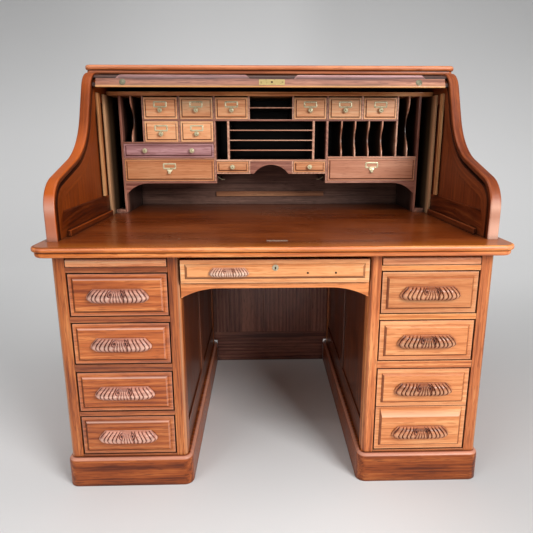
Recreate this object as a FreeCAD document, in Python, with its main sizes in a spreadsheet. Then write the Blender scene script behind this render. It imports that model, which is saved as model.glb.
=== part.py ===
import FreeCAD, Part
# S-curve roll-top desk on twin pedestals, with its tambour rolled open. Millimetres, +Z up.
# Origin: centre of the footprint, on the floor. +X is to the sitter's right and +Y to the back.
import math
import os
import re
from enum import Enum
from FreeCAD import Placement, Rotation, Vector

DIMENSIONS = {
    # whole desk
    "desk_width": 1331, "desk_depth": 956, "desk_height": 1299,
    "desktop_top": 762, "desktop_thick": 30, "front_overhang": 56, "rear_overhang": 11,
    "desktop_corner": 45, "edge_bead": 15.5, "edge_step": 7, "edge_ease": 5.5,
    # pedestals, plinths and the frame-and-panel sides
    "pedestal_inner": 269, "pedestal_outer": 625, "inner_stile": 34, "outer_stile": 37,
    "post_depth": 45, "post_round": 14, "rail_depth": 30,
    "side_inset": 2, "side_thick": 22, "side_rail": 80, "muntin_wide": 60,
    "panel_thick": 9, "panel_inset": 7, "back_thick": 18,
    "plinth_height": 95, "plinth_proud": 15, "plinth_side": 10, "plinth_wall": 32, "plinth_corner": 22,
    "plinth_ease": 8, "skirting_tall": 104, "knee_seam": -32,
    # pedestal drawers, their runners and carved pulls
    "level_first": 104, "level_second": 249, "level_third": 402.5, "level_fourth": 550.5,
    "drawer_tall": 125.5, "drawer_gap": 2.5,
    "drawer_long": 700, "drawer_front": 19, "drawer_wall": 12, "drawer_floor": 6, "drawer_lift": 8,
    "drawer_clear": 4, "drawer_headroom": 14, "drawer_margin": 17, "drawer_bevel": 8, "drawer_rise": 6,
    "file_seam": 258, "file_slope": 34, "file_bevel": 26,
    "runner_wide": 29, "runner_tall": 16, "slide_fit": 0.5,
    "pull_long": 176, "pull_tall": 39, "pull_deep": 21, "pull_ease": 10, "pull_grip": 10,
    # centre drawer, its lock and the arched apron under it
    "centre_base": 648, "centre_tall": 68, "centre_long": 480, "centre_proud": 8, "centre_runner": 36,
    "centre_pull_long": 112, "centre_pull_tall": 26, "centre_pull_x": 130, "pull_screw_near": 91,
    "pull_screw_far": 170, "pull_screw_hole": 3, "lock_round": 9, "lock_height": 694,
    "apron_low": 600, "apron_crown": 629, "apron_flat": 160, "apron_thick": 22, "apron_inset": 4,
    # writing slides
    "slide_base": 695, "slide_lip": 24, "slide_board": 16, "slide_long": 600, "slide_lip_deep": 26,
    # roll ends: vertical toe, swelling arc, slope, hollow arc, leaning neck, shoulder arc
    "roll_outer": 643.5, "roll_thick": 32, "roll_front": 392, "roll_toe": 86, "swell_radius": 94,
    "slope_angle": 17.5, "hollow_radius": 235, "neck_angle": 67, "shoulder_radius": 85,
    "shoulder_end": 75.71, "roll_top": 1268.5, "roll_back": 468, "rim_ease": 6,
    "sunk_margin": 62, "sunk_rail": 75, "sunk_deep": 4,
    "rest_long": 427, "rest_start": 318, "rest_wide": 12, "rest_tall": 20,
    # tambour and its track
    "track_inset": 20, "track_wide": 13, "track_deep": 11, "track_top": 1256, "track_stop": 800,
    "slat_pitch": 18, "slat_thick": 9, "slat_gap": 0.6, "slat_edge": 3.5, "slat_back": 15,
    "slat_crown": 9, "slat_tail": 9,
    "bend_slats": 3, "run_slats": 18, "turn_slats": 4, "fall_slats": 12,
    "lead_low": 15, "lead_high": 17, "lead_front": 16, "lead_rear": 5, "lead_end": 597, "lead_chamfer": 5,
    "tongue_low": 13, "tongue_high": 1,
    "lift_long": 455, "lift_near": 76, "lift_tall": 9, "lift_slope": 12, "lift_front": 13, "lift_rear": 4,
    "lock_plate_wide": 88, "lock_plate_tall": 20, "plate_thick": 1.5, "plug_round": 11, "plug_x": 506,
    "strike_wide": 61, "strike_deep": 12, "strike_setback": 83,
    # top board and the panelled back of the roll case
    "top_half": 664, "top_front": 101, "top_back": 476, "top_corner": 24, "top_bead": 18, "top_step": 6,
    "top_ease": 6, "case_rail": 70, "case_stile": 75,
    # gallery: columns outward from the centre line
    "gallery_front": 164, "gallery_back": 418, "gallery_sheet": 6, "gallery_board": 15, "gallery_top": 1214,
    "well_half": 80, "bay_near": 86, "bay_near_end": 210, "bay_mid": 218, "bay_mid_end": 342,
    "bay_far": 350, "bay_far_end": 477, "bay_post": 483, "cyma_middle": 523.5, "cyma_thick": 5,
    "cyma_lead": 0.05,
    "tall_inner": 560, "tall_outer": 568, "cheek_inner": 603, "cheek_outer": 611,
    "shelf_half": 158, "shelf_post": 166, "cheek_front": 110,
    "cleat_wide": 22, "cleat_thick": 8, "cleat_front": 40, "cleat_foot": 80,
    # gallery: heights of shelves and drawers
    "rail_high": 1109, "rail_thick": 6, "rail_mid": 1026, "rail_low": 968, "chest_floor": 884,
    "chest_board": 8, "rack_floor": 971, "slim_floor": 917, "slim_board": 5, "well_floor": 960,
    "well_shelf": 1155, "leaf_thick": 4, "leaf_first": 999, "leaf_pitch": 37, "tall_floor": 13,
    "cyma_recess": 40, "rack_recess": 24, "arch_drop": 48, "arch_rise": 14, "arch_foot": 14,
    "bracket_long": 82, "bracket_drop": 44, "bracket_bow": 0.42, "bracket_sag": 0.31,
    "ledge_half": 205, "ledge_low": 798, "ledge_tall": 22, "ledge_thick": 8,
    # gallery drawers and their brass
    "tray_gap": 1, "tray_long": 230, "tray_front": 10, "tray_wall": 6, "tray_floor": 4, "tray_lift": 3,
    "tray_clear": 1.5, "tray_headroom": 6, "tray_margin": 6, "tray_bevel": 4, "tray_rise": 3,
    "holder_wide": 50, "holder_tall": 23, "holder_rim": 4.5, "holder_thick": 1.2, "holder_drop": 8,
    "knob_round": 9, "knob_stem": 3.5, "knob_deep": 14, "lip_wide": 22, "lip_tall": 15, "lip_deep": 12,
    "lip_edge": 5, "pair_share": 0.26, "knob_neck": 0.4, "knob_swell": 0.6, "knob_crown": 0.85,
    # how far a cutting shape reaches past the face that it opens
    "cut_past": 1,
}
FACE = "(front_overhang - desk_depth / 2)"
REAR = "(desk_depth / 2 - rear_overhang)"
UNDER = "(desktop_top - desktop_thick)"
INNER_POST = "(pedestal_inner + inner_stile)"
OUTER_POST = "(pedestal_outer - outer_stile)"
INNER_WALL = "(pedestal_inner + side_inset + side_thick)"
OUTER_WALL = "(pedestal_outer - side_inset - side_thick)"
ROLL_INNER = "(roll_outer - roll_thick)"
CEILING = "(gallery_top - gallery_board)"
GALLERY_DEPTH = ("gallery_front", "gallery_back")
SIDES = {"left": -1, "right": 1}
LEVELS = ("level_first", "level_second", "level_third", "level_fourth")
TURNED_FACETS = 12
LEAVES = 3
RACK_LEAVES = 4
X_AXIS = Vector(1, 0, 0)
TOUCH = 0.01


class Brass(Enum):
    """What a gallery drawer carries on its front."""
    KNOB = 1
    KNOB_PAIR = 2
    HOLDER_AND_KNOB = 3
    HOLDER_AND_LIP = 4


doc = FreeCAD.newDocument("roll_top_desk")
sheet = doc.addObject("Spreadsheet::Sheet", "dims")
for row, (alias, value) in enumerate(DIMENSIONS.items(), start=1):
    sheet.set(f"A{row}", alias)
    sheet.set(f"B{row}", str(value))
    sheet.setAlias(f"B{row}", alias)
doc.recompute()
nodes = []


def size(alias):
    """A driving dimension read from the sheet, as a number."""
    return float(getattr(sheet, alias))


def formula(text):
    """A sum of sheet aliases, written as an expression on the sheet."""
    return re.sub(r"[a-z]+(?:_[a-z]+)*", lambda found: "dims." + found.group(0), str(text))


def across(side, inner, outer):
    """The span from inner to outer on one side of the centre line, lowest first."""
    if side > 0:
        return inner, outer
    return f"-({outer})", f"-({inner})"


def board(name, x, y, z):
    """A plain board between three pairs of formulas, lowest first."""
    box = doc.addObject("Part::Box", name)
    for axis, prop, (low, high) in zip("xyz", ("Length", "Width", "Height"), (x, y, z)):
        box.setExpression(prop, formula(f"({high}) - ({low})"))
        box.setExpression(f"Placement.Base.{axis}", formula(low))
    return box


def combine(kind, name, base, tool):
    """A two-body boolean, Part::Fuse, Part::Cut or Part::Common."""
    made = doc.addObject(kind, name)
    made.Base = base
    made.Tool = tool
    return made


def node(label, *pieces):
    """Registers a sub-part: one piece, or several separate solids that travel as one."""
    if len(pieces) == 1:
        made = pieces[0]
    else:
        made = doc.addObject("Part::Compound", label + "_set")
        made.Links = list(pieces)
    made.Label = label
    nodes.append(made)


def rounded(name, base, radius, wanted, kind="Part::Fillet"):
    """A copy of base whose edges that pass the test are rounded, or chamfered, to the radius."""
    doc.recompute()
    made = doc.addObject(kind, name)
    made.Base = base
    numbered = enumerate(base.Shape.Edges, start=1)
    made.Edges = [(number, radius, radius) for number, edge in numbered if wanted(edge)]
    return made


def eased(name, base, width, wanted):
    """A copy of base whose edges that pass the test are chamfered to the width."""
    return rounded(name, base, width, wanted, "Part::Chamfer")


def is_upright(edge):
    """Whether an edge runs straight up."""
    box = edge.BoundBox
    return box.ZLength > TOUCH and box.XLength + box.YLength < TOUCH


def lies_at(height):
    """A test for edges that lie flat at the given height."""
    return lambda edge: edge.BoundBox.ZLength < TOUCH and abs(edge.BoundBox.ZMin - height) < TOUCH


def walk(start, heading, steps):
    """Edges of a path of tangent lines and arcs in the YZ plane, and the end point.

    A step is (length,) for a line or (radius, turn) for an arc. A turn is in degrees, positive to the left.
    """
    edges = []
    here = Vector(0, *start)
    angle = math.radians(heading)
    for step in steps:
        if len(step) == 1:
            there = here + Vector(0, math.cos(angle), math.sin(angle)) * step[0]
            edges.append(Part.LineSegment(here, there).toShape())
        else:
            radius, turn = step[0], math.radians(step[1])
            hand = math.copysign(1, turn)
            centre = here + Vector(0, -math.sin(angle), math.cos(angle)) * radius * hand
            middle, there = (centre + Vector(0, math.sin(end), -math.cos(end)) * radius * hand
                             for end in (angle + turn / 2, angle + turn))
            edges.append(Part.Arc(here, middle, there).toShape())
            angle += turn
        here = there
    return edges, here


def closed_face(edges, corners):
    """A face bounded by a path of edges and the straight runs through further corners back to its start."""
    stops = list(corners) + [edges[0].valueAt(edges[0].FirstParameter)]
    runs = [Part.LineSegment(a, b).toShape() for a, b in zip(stops, stops[1:])]
    return Part.Face(Part.Wire(edges + runs))


def extruded(name, face, direction, length):
    """A solid drawn from a profile face along a direction, its length a formula."""
    profile = doc.addObject("Part::Feature", name + "_profile")
    profile.Shape = face
    solid = doc.addObject("Part::Extrusion", name)
    solid.Base = profile
    solid.DirMode = "Custom"
    solid.Dir = direction
    solid.setExpression("LengthFwd", formula(length))
    solid.Solid = True
    return solid


def polygon_face(points):
    """A flat face through corner points."""
    return Part.Face(Part.makePolygon([Vector(*p) for p in points] + [Vector(*points[0])]))


def moulded_slab(name, x, y, low, high, corner, bead, step, edge):
    """A board whose edge is an eased bead over a stepped-in chamfer, with rounded corners."""
    split = f"({high} - {bead})"
    inset_x = (f"({x[0]}) + {step}", f"({x[1]}) - {step}")
    inset_y = (f"({y[0]}) + {step}", f"({y[1]}) - {step}")
    upper = board(name + "_upper", x, y, (split, high))
    lower = board(name + "_lower", inset_x, inset_y, (low, split))
    upper = rounded(name + "_upper_corners", upper, size(corner), is_upright)
    lower = rounded(name + "_lower_corners", lower, size(corner) - size(step), is_upright)
    doc.recompute()
    for tag, height in (("over", upper.Shape.BoundBox.ZMax), ("under", upper.Shape.BoundBox.ZMin)):
        upper = eased(f"{name}_bead_{tag}", upper, size(edge), lies_at(height))
    lower = eased(name + "_cove", lower, size(edge), lies_at(lower.Shape.BoundBox.ZMin))
    return combine("Part::Fuse", name, upper, lower)


def desktop():
    """The writing surface, with its two-part moulded edge all round."""
    half = ("-desk_width / 2", "desk_width / 2")
    deep = ("-desk_depth / 2", "desk_depth / 2")
    node("desktop", moulded_slab("desktop_slab", half, deep, UNDER, "desktop_top", "desktop_corner",
                                 "edge_bead", "edge_step", "edge_ease"))


def top_board():
    """The small board over the roll, with the desktop's edge repeated."""
    half = ("-top_half", "top_half")
    deep = ("top_front", "top_back")
    node("top_board", moulded_slab("top_slab", half, deep, "roll_top", "desk_height", "top_corner",
                                   "top_bead", "top_step", "top_ease"))


def plinth(name, side):
    """A hollow base frame with rounded corners and an eased top edge, proud of its pedestal."""
    x = across(side, "pedestal_inner - plinth_proud", "pedestal_outer + plinth_side")
    y = (f"{FACE} - plinth_proud", f"{REAR} + plinth_proud / 2")
    block = board(name + "_block", x, y, ("0", "plinth_height"))
    block = rounded(name + "_corners", block, size("plinth_corner"), is_upright)
    block = eased(name + "_top", block, size("plinth_ease"), lies_at(size("plinth_height")))
    hollow = board(name + "_hollow", (f"({x[0]}) + plinth_wall", f"({x[1]}) - plinth_wall"),
                   (f"{y[0]} + plinth_wall", f"{y[1]} - plinth_wall"),
                   ("-cut_past", "plinth_height + cut_past"))
    node(name, combine("Part::Cut", name + "_frame", block, hollow))


def post(name, x, y, outward, forward):
    """A pedestal corner post, its exposed upright edge rounded."""
    stick = board(name + "_stick", x, y, ("plinth_height", UNDER))
    doc.recompute()
    box = stick.Shape.BoundBox
    edge_x = box.XMax if outward > 0 else box.XMin
    edge_y = box.YMin if forward else box.YMax

    def exposed(edge):
        bounds = edge.BoundBox
        off = abs(bounds.XMin - edge_x) + abs(bounds.YMin - edge_y)
        return is_upright(edge) and off < TOUCH

    return rounded(name, stick, size("post_round"), exposed)


def level(number):
    """The height of a pedestal drawer's bottom edge, counted up from the lowest."""
    return LEVELS[number]


def pedestal(name, side, shared_levels):
    """Posts, drawer rails and panelled sides of one pedestal. Shared levels have no rail over them."""
    inner = across(side, "pedestal_inner", INNER_POST)
    outer = across(side, OUTER_POST, "pedestal_outer")
    bay = across(side, INNER_POST, OUTER_POST)
    front = (FACE, f"{FACE} + post_depth")
    back = (f"{REAR} - post_depth", REAR)
    frame = [post(f"{name}_inner_front_post", inner, front, -side, True),
             post(f"{name}_outer_front_post", outer, front, side, True),
             post(f"{name}_inner_back_post", inner, back, -side, False),
             post(f"{name}_outer_back_post", outer, back, side, False)]
    rail_y = (FACE, f"{FACE} + rail_depth")
    rails = [("plinth_height", f"{level(0)} - drawer_gap")]
    rails += [(f"{level(n)} + drawer_tall + drawer_gap", f"{level(n + 1)} - drawer_gap")
              for n in range(3) if n not in shared_levels]
    rails.append((f"{level(3)} + drawer_tall + drawer_gap", "slide_base - slide_fit"))
    frame += [board(f"{name}_rail_{n}", bay, rail_y, z) for n, z in enumerate(rails)]
    back_face = f"({REAR} - side_inset)"
    frame += [board(f"{name}_back_rail_{n}", bay, (f"{back_face} - side_thick", back_face), z)
              for n, z in enumerate(side_rail_heights())]
    panels = [board(f"{name}_back_panel", bay, panel_depth(back_face), panel_heights())]
    middle = f"(({FACE} + {REAR}) / 2)"
    bays = ((front[1], f"{middle} - muntin_wide / 2"), (f"{middle} + muntin_wide / 2", back[0]))
    walls = {"inner": across(side, f"{INNER_WALL} - side_thick", INNER_WALL),
             "outer": across(side, OUTER_WALL, f"{OUTER_WALL} + side_thick")}
    inner_skin, outer_skin = "(pedestal_inner + panel_inset)", "(pedestal_outer - panel_inset)"
    skins = {"inner": across(side, inner_skin, f"{inner_skin} + panel_thick"),
             "outer": across(side, f"{outer_skin} - panel_thick", outer_skin)}
    for wall, x in walls.items():
        frame += [board(f"{name}_{wall}_rail_{n}", x, (front[1], back[0]), z)
                  for n, z in enumerate(side_rail_heights())]
        frame.append(board(f"{name}_{wall}_muntin", x, (bays[0][1], bays[1][0]), panel_heights()))
        panels += [board(f"{name}_{wall}_panel_{n}", skins[wall], y, panel_heights())
                   for n, y in enumerate(bays)]
    node(f"pedestal_frame_{name}", *frame)
    node(f"pedestal_panels_{name}", *panels)


def side_rail_heights():
    """The bottom and top rails of a panelled side."""
    return [("plinth_height", "plinth_height + side_rail"), (f"{UNDER} - side_rail", UNDER)]


def panel_heights():
    """The panels between those rails."""
    return "plinth_height + side_rail", f"{UNDER} - side_rail"


def panel_depth(face):
    """A panel set back from a frame's rear face."""
    return f"{face} - panel_inset - panel_thick", f"{face} - panel_inset"


def runners():
    """Hardwood strips that carry the drawers and writing slides, fixed to the pedestal walls."""
    strips = []
    depth = (f"{FACE} + post_depth", f"{REAR} - post_depth")
    near = (INNER_WALL, f"{INNER_WALL} + runner_wide")
    far = (f"{OUTER_WALL} - runner_wide", OUTER_WALL)
    knee_wall = "pedestal_inner + side_inset"
    for name, side in SIDES.items():
        levels = [level(n) for n in range(4) if not (name == "right" and n == 1)] + ["slide_base"]
        for n, top in enumerate(levels):
            z = (f"{top} - slide_fit - runner_tall", f"{top} - slide_fit")
            strips += [board(f"{name}_runner_{n}_{end}", across(side, *x), depth, z)
                       for end, x in (("near", near), ("far", far))]
        strips.append(board(f"{name}_centre_runner",
                            across(side, f"{knee_wall} - centre_runner", knee_wall),
                            (f"{FACE} + post_depth", f"{FACE} + centre_long"),
                            ("centre_base - slide_fit - runner_tall", "centre_base - slide_fit")))
    node("drawer_runners", *strips)


def kneehole():
    """The panelled back between the pedestals with its skirting, and the arched apron in front."""
    wide = ("-pedestal_inner", "pedestal_inner")
    y = (f"{REAR} - back_thick", REAR)
    rails = (("skirting_tall", "skirting_tall + side_rail / 2"), (f"{UNDER} - side_rail", UNDER))
    between = (rails[0][1], rails[1][0])
    stile = "(pedestal_inner - case_stile)"
    pieces = [board(f"knee_rail_{n}", wide, y, z) for n, z in enumerate(rails)]
    for name, side in SIDES.items():
        pieces.append(board(f"knee_stile_{name}", across(side, stile, "pedestal_inner"), y, between))
        seam = across(side, "knee_seam" if side > 0 else "-knee_seam", stile)
        pieces.append(board(f"knee_panel_{name}", seam, panel_depth(REAR), between))
    skirt = "pedestal_inner - plinth_proud"
    skirt_y = (f"{REAR} - back_thick - side_inset", REAR)
    pieces.append(board("knee_skirting", (f"-({skirt})", skirt), skirt_y, ("0", "skirting_tall")))
    node("kneehole_back", *pieces)
    half, flat = size("pedestal_inner"), size("apron_flat")
    low, crown, top = size("apron_low"), size("apron_crown"), size("centre_base") - size("drawer_gap")
    depth = size("front_overhang") - size("desk_depth") / 2 + size("apron_inset")
    run, rise = half - flat, crown - low
    radius = (run ** 2 + rise ** 2) / (2 * rise)
    sweep = math.asin(run / radius) / 2
    knee = Vector(flat + radius * math.sin(sweep), depth, crown - radius * (1 - math.cos(sweep)))
    mirrored = Vector(-knee.x, knee.y, knee.z)
    corner = [Vector(x, depth, z) for x, z in ((half, low), (half, top), (-half, top), (-half, low))]
    crowns = [Vector(x, depth, crown) for x in (-flat, flat)]
    outline = [Part.Arc(corner[3], mirrored, crowns[0]).toShape(), Part.LineSegment(*crowns).toShape(),
               Part.Arc(crowns[1], knee, corner[0]).toShape()]
    outline += [Part.LineSegment(a, b).toShape() for a, b in zip(corner, corner[1:])]
    node("kneehole_apron", extruded("apron", Part.Face(Part.Wire(outline)), Vector(0, 1, 0), "apron_thick"))


def raised_front(name, x, z, kind, slope=None):
    """A drawer front: a board with a bevelled field that stands proud of it.

    slope is a pair of formulas, margin and bevel, for a top edge that falls away further than the others.
    """
    face = f"{kind['face']}"
    front = board(name + "_board", x, (face, f"{face} + {kind['name']}_front"), z)
    margin, bevel = f"{kind['name']}_margin", f"{kind['name']}_bevel"
    top_margin, top_bevel = slope or (margin, bevel)
    field = doc.addObject("Part::Wedge", name + "_field")
    spans = {"X": (x[0], x[1], margin, margin), "Z": (z[0], z[1], margin, top_margin)}
    bevels = {"X": (bevel, bevel), "Z": (bevel, top_bevel)}
    for axis, (low, high, near, far) in spans.items():
        inner_near, inner_far = bevels[axis]
        field.setExpression(f"{axis}2min", formula(f"({low}) + {near}"))
        field.setExpression(f"{axis}2max", formula(f"({high}) - {far}"))
        field.setExpression(f"{axis}min", formula(f"({low}) + {near} + {inner_near}"))
        field.setExpression(f"{axis}max", formula(f"({high}) - {far} - {inner_far}"))
    field.setExpression("Ymin", formula(f"{face} - {kind['name']}_rise"))
    field.setExpression("Ymax", formula(face))
    return combine("Part::Fuse", name + "_front", front, field)


def drawer_box(name, x, z, kind):
    """The sides, back and bottom behind a drawer front, each a board of its own."""
    tag, face = kind["name"], kind["face"]
    start, end = f"{face} + {tag}_front", f"{face} + {kind['long']}"
    outer = (f"({x[0]}) + {tag}_clear", f"({x[1]}) - {tag}_clear")
    inner = (f"{outer[0]} + {tag}_wall", f"{outer[1]} - {tag}_wall")
    wall_z = (z[0], f"({z[1]}) - {tag}_headroom")
    floor_z = (f"({z[0]}) + {tag}_lift", f"({z[0]}) + {tag}_lift + {tag}_floor")
    return [board(name + "_side_a", (outer[0], inner[0]), (start, end), wall_z),
            board(name + "_side_b", (inner[1], outer[1]), (start, end), wall_z),
            board(name + "_back", inner, (f"{end} - {tag}_wall", end), wall_z),
            board(name + "_bottom", inner, (start, f"{end} - {tag}_wall"), floor_z)]


def carved_pull(name, x, z, face, long, tall):
    """A wooden cup pull: a bar with round ends and an eased front, hollowed under for the fingers."""
    radius = size(tall) / 2
    run = size(long) / 2 - radius
    body = doc.addObject("PartDesign::Body", name + "_body")
    plane = next(o for o in body.Origin.OriginFeatures if o.Role == "XZ_Plane")
    sketch = body.newObject("Sketcher::SketchObject", name + "_outline")
    sketch.AttachmentSupport = (plane, "")
    sketch.MapMode = "FlatFace"
    for middle, first in ((run, -math.pi / 2), (-run, math.pi / 2)):
        circle = Part.Circle(Vector(middle, 0, 0), Vector(0, 0, 1), radius)
        sketch.addGeometry(Part.ArcOfCircle(circle, first, first + math.pi))
    for height in (-radius, radius):
        sketch.addGeometry(Part.LineSegment(Vector(-run, height, 0), Vector(run, height, 0)))
    pad = body.newObject("PartDesign::Pad", name + "_bar")
    pad.Profile = sketch
    pad.setExpression("Length", formula(f"pull_deep * {tall} / pull_tall"))
    body.Tip = pad
    body.Placement = Placement(Vector(x, face, z), Rotation())
    doc.recompute()
    front = body.Shape.BoundBox.YMin
    scale = size(tall) / size("pull_tall")
    bar = eased(name + "_eased", body, size("pull_ease") * scale,
                lambda edge: abs(edge.BoundBox.YMin - front) + edge.BoundBox.YLength < TOUCH)
    grip = board(name + "_grip", (f"{x} - {run}", f"{x} + {run}"),
                 (f"{face} - pull_grip * {scale}", f"{face} + cut_past"),
                 (f"{z} - {radius} - cut_past", f"{z}"))
    return combine("Part::Cut", name, bar, grip)


def pedestal_drawers():
    """Four drawers on the left; two and a deep file drawer on the right, each with its carved pull."""
    kind = {"name": "drawer", "face": f"({FACE} + side_inset)", "long": "drawer_long"}
    field_face = size("front_overhang") - size("desk_depth") / 2 + size("side_inset") - size("drawer_rise")
    bay_low = size("pedestal_inner") + size("inner_stile")
    bay_high = size("pedestal_outer") - size("outer_stile")
    middle = (bay_low + bay_high) / 2
    for name, side in SIDES.items():
        bay = across(side, f"{INNER_POST} + drawer_gap", f"{OUTER_POST} - drawer_gap")
        for n in range(2 if name == "right" else 0, 4):
            label = f"drawer_{name}_{4 - n}"
            z = (level(n), f"{level(n)} + drawer_tall")
            centre = size(level(n)) + size("drawer_tall") / 2
            node(label, raised_front(label, bay, z, kind), *drawer_box(label, bay, z, kind),
                 carved_pull(label + "_pull", side * middle, centre, field_face, "pull_long", "pull_tall"))
    bay = across(1, f"{INNER_POST} + drawer_gap", f"{OUTER_POST} - drawer_gap")
    low = (level(0), "file_seam")
    high = ("file_seam", f"{level(1)} + drawer_tall")
    pulls = [carved_pull(f"file_pull_{n}", middle, size(level(n)) + size("drawer_tall") / 2,
                         field_face, "pull_long", "pull_tall") for n in range(2)]
    slope = ("file_slope - file_bevel", "file_bevel")
    node("file_drawer_right", raised_front("file_low", bay, low, kind, slope),
         raised_front("file_high", bay, high, kind),
         *drawer_box("file", bay, (low[0], high[1]), kind), *pulls)


def disc(name, placement, radius):
    """A flat brass disc, its rim in short flats."""
    made = doc.addObject("Part::Prism", name)
    made.Polygon = TURNED_FACETS
    made.setExpression("Circumradius", formula(radius))
    made.setExpression("Height", formula("plate_thick"))
    made.Placement = placement
    return made


def centre_drawer():
    """The shallow drawer over the kneehole: one pull, the other's screw holes, and a brass lock."""
    face = f"({FACE} - centre_proud)"
    kind = {"name": "drawer", "face": face, "long": "centre_long"}
    x = ("drawer_gap - pedestal_inner", "pedestal_inner - drawer_gap")
    z = ("centre_base", "centre_base + centre_tall")
    front = raised_front("centre", x, z, kind)
    plane = size("front_overhang") - size("desk_depth") / 2 - size("centre_proud") - size("drawer_rise")
    height = size("centre_base") + size("centre_tall") / 2
    for n, place in enumerate(("pull_screw_near", "pull_screw_far")):
        hole = doc.addObject("Part::Cylinder", f"screw_hole_{n}")
        hole.setExpression("Radius", formula("pull_screw_hole"))
        hole.setExpression("Height", formula("drawer_rise + drawer_front / 2"))
        mouth = Vector(size(place), plane, height - size("drawer_bevel") / 2)
        hole.Placement = Placement(mouth, Rotation(X_AXIS, -90))
        front = combine("Part::Cut", f"centre_front_drilled_{n}", front, hole)
    box = drawer_box("centre", x, z, kind)
    pull = carved_pull("centre_pull", -size("centre_pull_x"), height, plane,
                       "centre_pull_long", "centre_pull_tall")
    node("centre_drawer", front, *box, pull)
    facing = Placement(Vector(0, plane, size("lock_height")), Rotation(X_AXIS, 90))
    rose = disc("lock_rose", facing, "lock_round")
    keyway = board("lock_keyway", ("-plate_thick", "plate_thick"),
                   (f"{plane} - 2 * plate_thick", f"{plane} + cut_past"),
                   ("lock_height - lock_round / 2", "lock_height + lock_round / 4"))
    node("centre_drawer_lock", combine("Part::Cut", "lock_plate_round", rose, keyway))


def writing_slides():
    """Pull-out boards over the top pedestal drawers, each with a thicker rounded front lip."""
    for name, side in SIDES.items():
        x = across(side, f"{INNER_POST} + drawer_gap", f"{OUTER_POST} - drawer_gap")
        lip_y = (f"{FACE} - side_inset", f"{FACE} - side_inset + slide_lip_deep")
        lip = board(f"slide_{name}_lip", x, lip_y, ("slide_base", "slide_base + slide_lip"))
        top = size("slide_base") + size("slide_lip")

        def front_edge(edge):
            box = edge.BoundBox
            return lies_at(top)(edge) and box.XLength > TOUCH and box.YMax < lip.Shape.BoundBox.YMin + TOUCH

        lip = rounded(f"slide_{name}_rounded_lip", lip, size("slide_lip") / 3, front_edge)
        leaf = board(f"slide_{name}_leaf", x, (lip_y[1], f"{FACE} + slide_long"),
                     ("slide_base", "slide_base + slide_board"))
        node(f"writing_slide_{name}", lip, leaf)


def roll_steps(inset, neck_trim=0.0):
    """The S-curve of a roll end, drawn the given distance inside its edge, from the toe to the shoulder."""
    slope, neck = math.radians(size("slope_angle")), math.radians(size("neck_angle"))
    swell, hollow, shoulder = size("swell_radius"), size("hollow_radius"), size("shoulder_radius")
    reach_y = size("shoulder_end") - shoulder * math.sin(neck) + size("roll_front")
    reach_y -= swell * (1 - math.sin(slope)) + hollow * (math.sin(neck) - math.sin(slope))
    reach_z = size("roll_top") - shoulder * (1 - math.cos(neck)) - size("desktop_top") - size("roll_toe")
    reach_z -= swell * math.cos(slope) + hollow * (math.cos(slope) - math.cos(neck))
    cross = math.sin(neck - slope)
    slope_run = (reach_y * math.sin(neck) - reach_z * math.cos(neck)) / cross
    neck_run = (reach_z * math.cos(slope) - reach_y * math.sin(slope)) / cross
    rise, fall = size("slope_angle") - 90, size("neck_angle") - size("slope_angle")
    return [(size("roll_toe"),), (swell - inset, rise), (slope_run,), (hollow + inset, fall),
            (neck_run - neck_trim,)]


def track_shape(offset):
    """One wall of the tambour track, moved out from its centre line: up the S, over and down the back."""
    inset = size("track_inset") - offset
    pitch = size("slat_pitch")
    neck = math.radians(size("neck_angle"))
    bend = size("bend_slats") * pitch / neck
    turn = size("turn_slats") * pitch / (math.pi / 2)
    edges, end = walk((-size("roll_front") + inset, size("desktop_top")), 90, roll_steps(inset))
    level_start = size("track_top") - bend * (1 - math.cos(neck)) + offset * math.cos(neck)
    extra = (level_start - end.z) / math.sin(neck)
    tail = [(extra,), (bend + offset, -size("neck_angle")), (size("run_slats") * pitch,),
            (turn + offset, -90)]
    more, corner = walk((end.y, end.z), size("neck_angle"), tail)
    last, stop = walk((corner.y, corner.z), -90, [(corner.z - size("track_stop"),)])
    return edges + more + last, stop


def track_points():
    """Where the track's front bend begins, its centre, and the centre of the rear turn."""
    edges, _ = track_shape(0)
    bend_start = edges[6].Vertexes[0].Point
    neck = math.radians(size("neck_angle"))
    bend = size("bend_slats") * size("slat_pitch") / neck
    bend_centre = bend_start + Vector(0, math.sin(neck), -math.cos(neck)) * bend
    turn = size("turn_slats") * size("slat_pitch") / (math.pi / 2)
    run = size("run_slats") * size("slat_pitch")
    turn_centre = Vector(0, bend_centre.y + run, size("track_top") - turn)
    return bend_start, bend_centre, bend, turn_centre, turn


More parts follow.
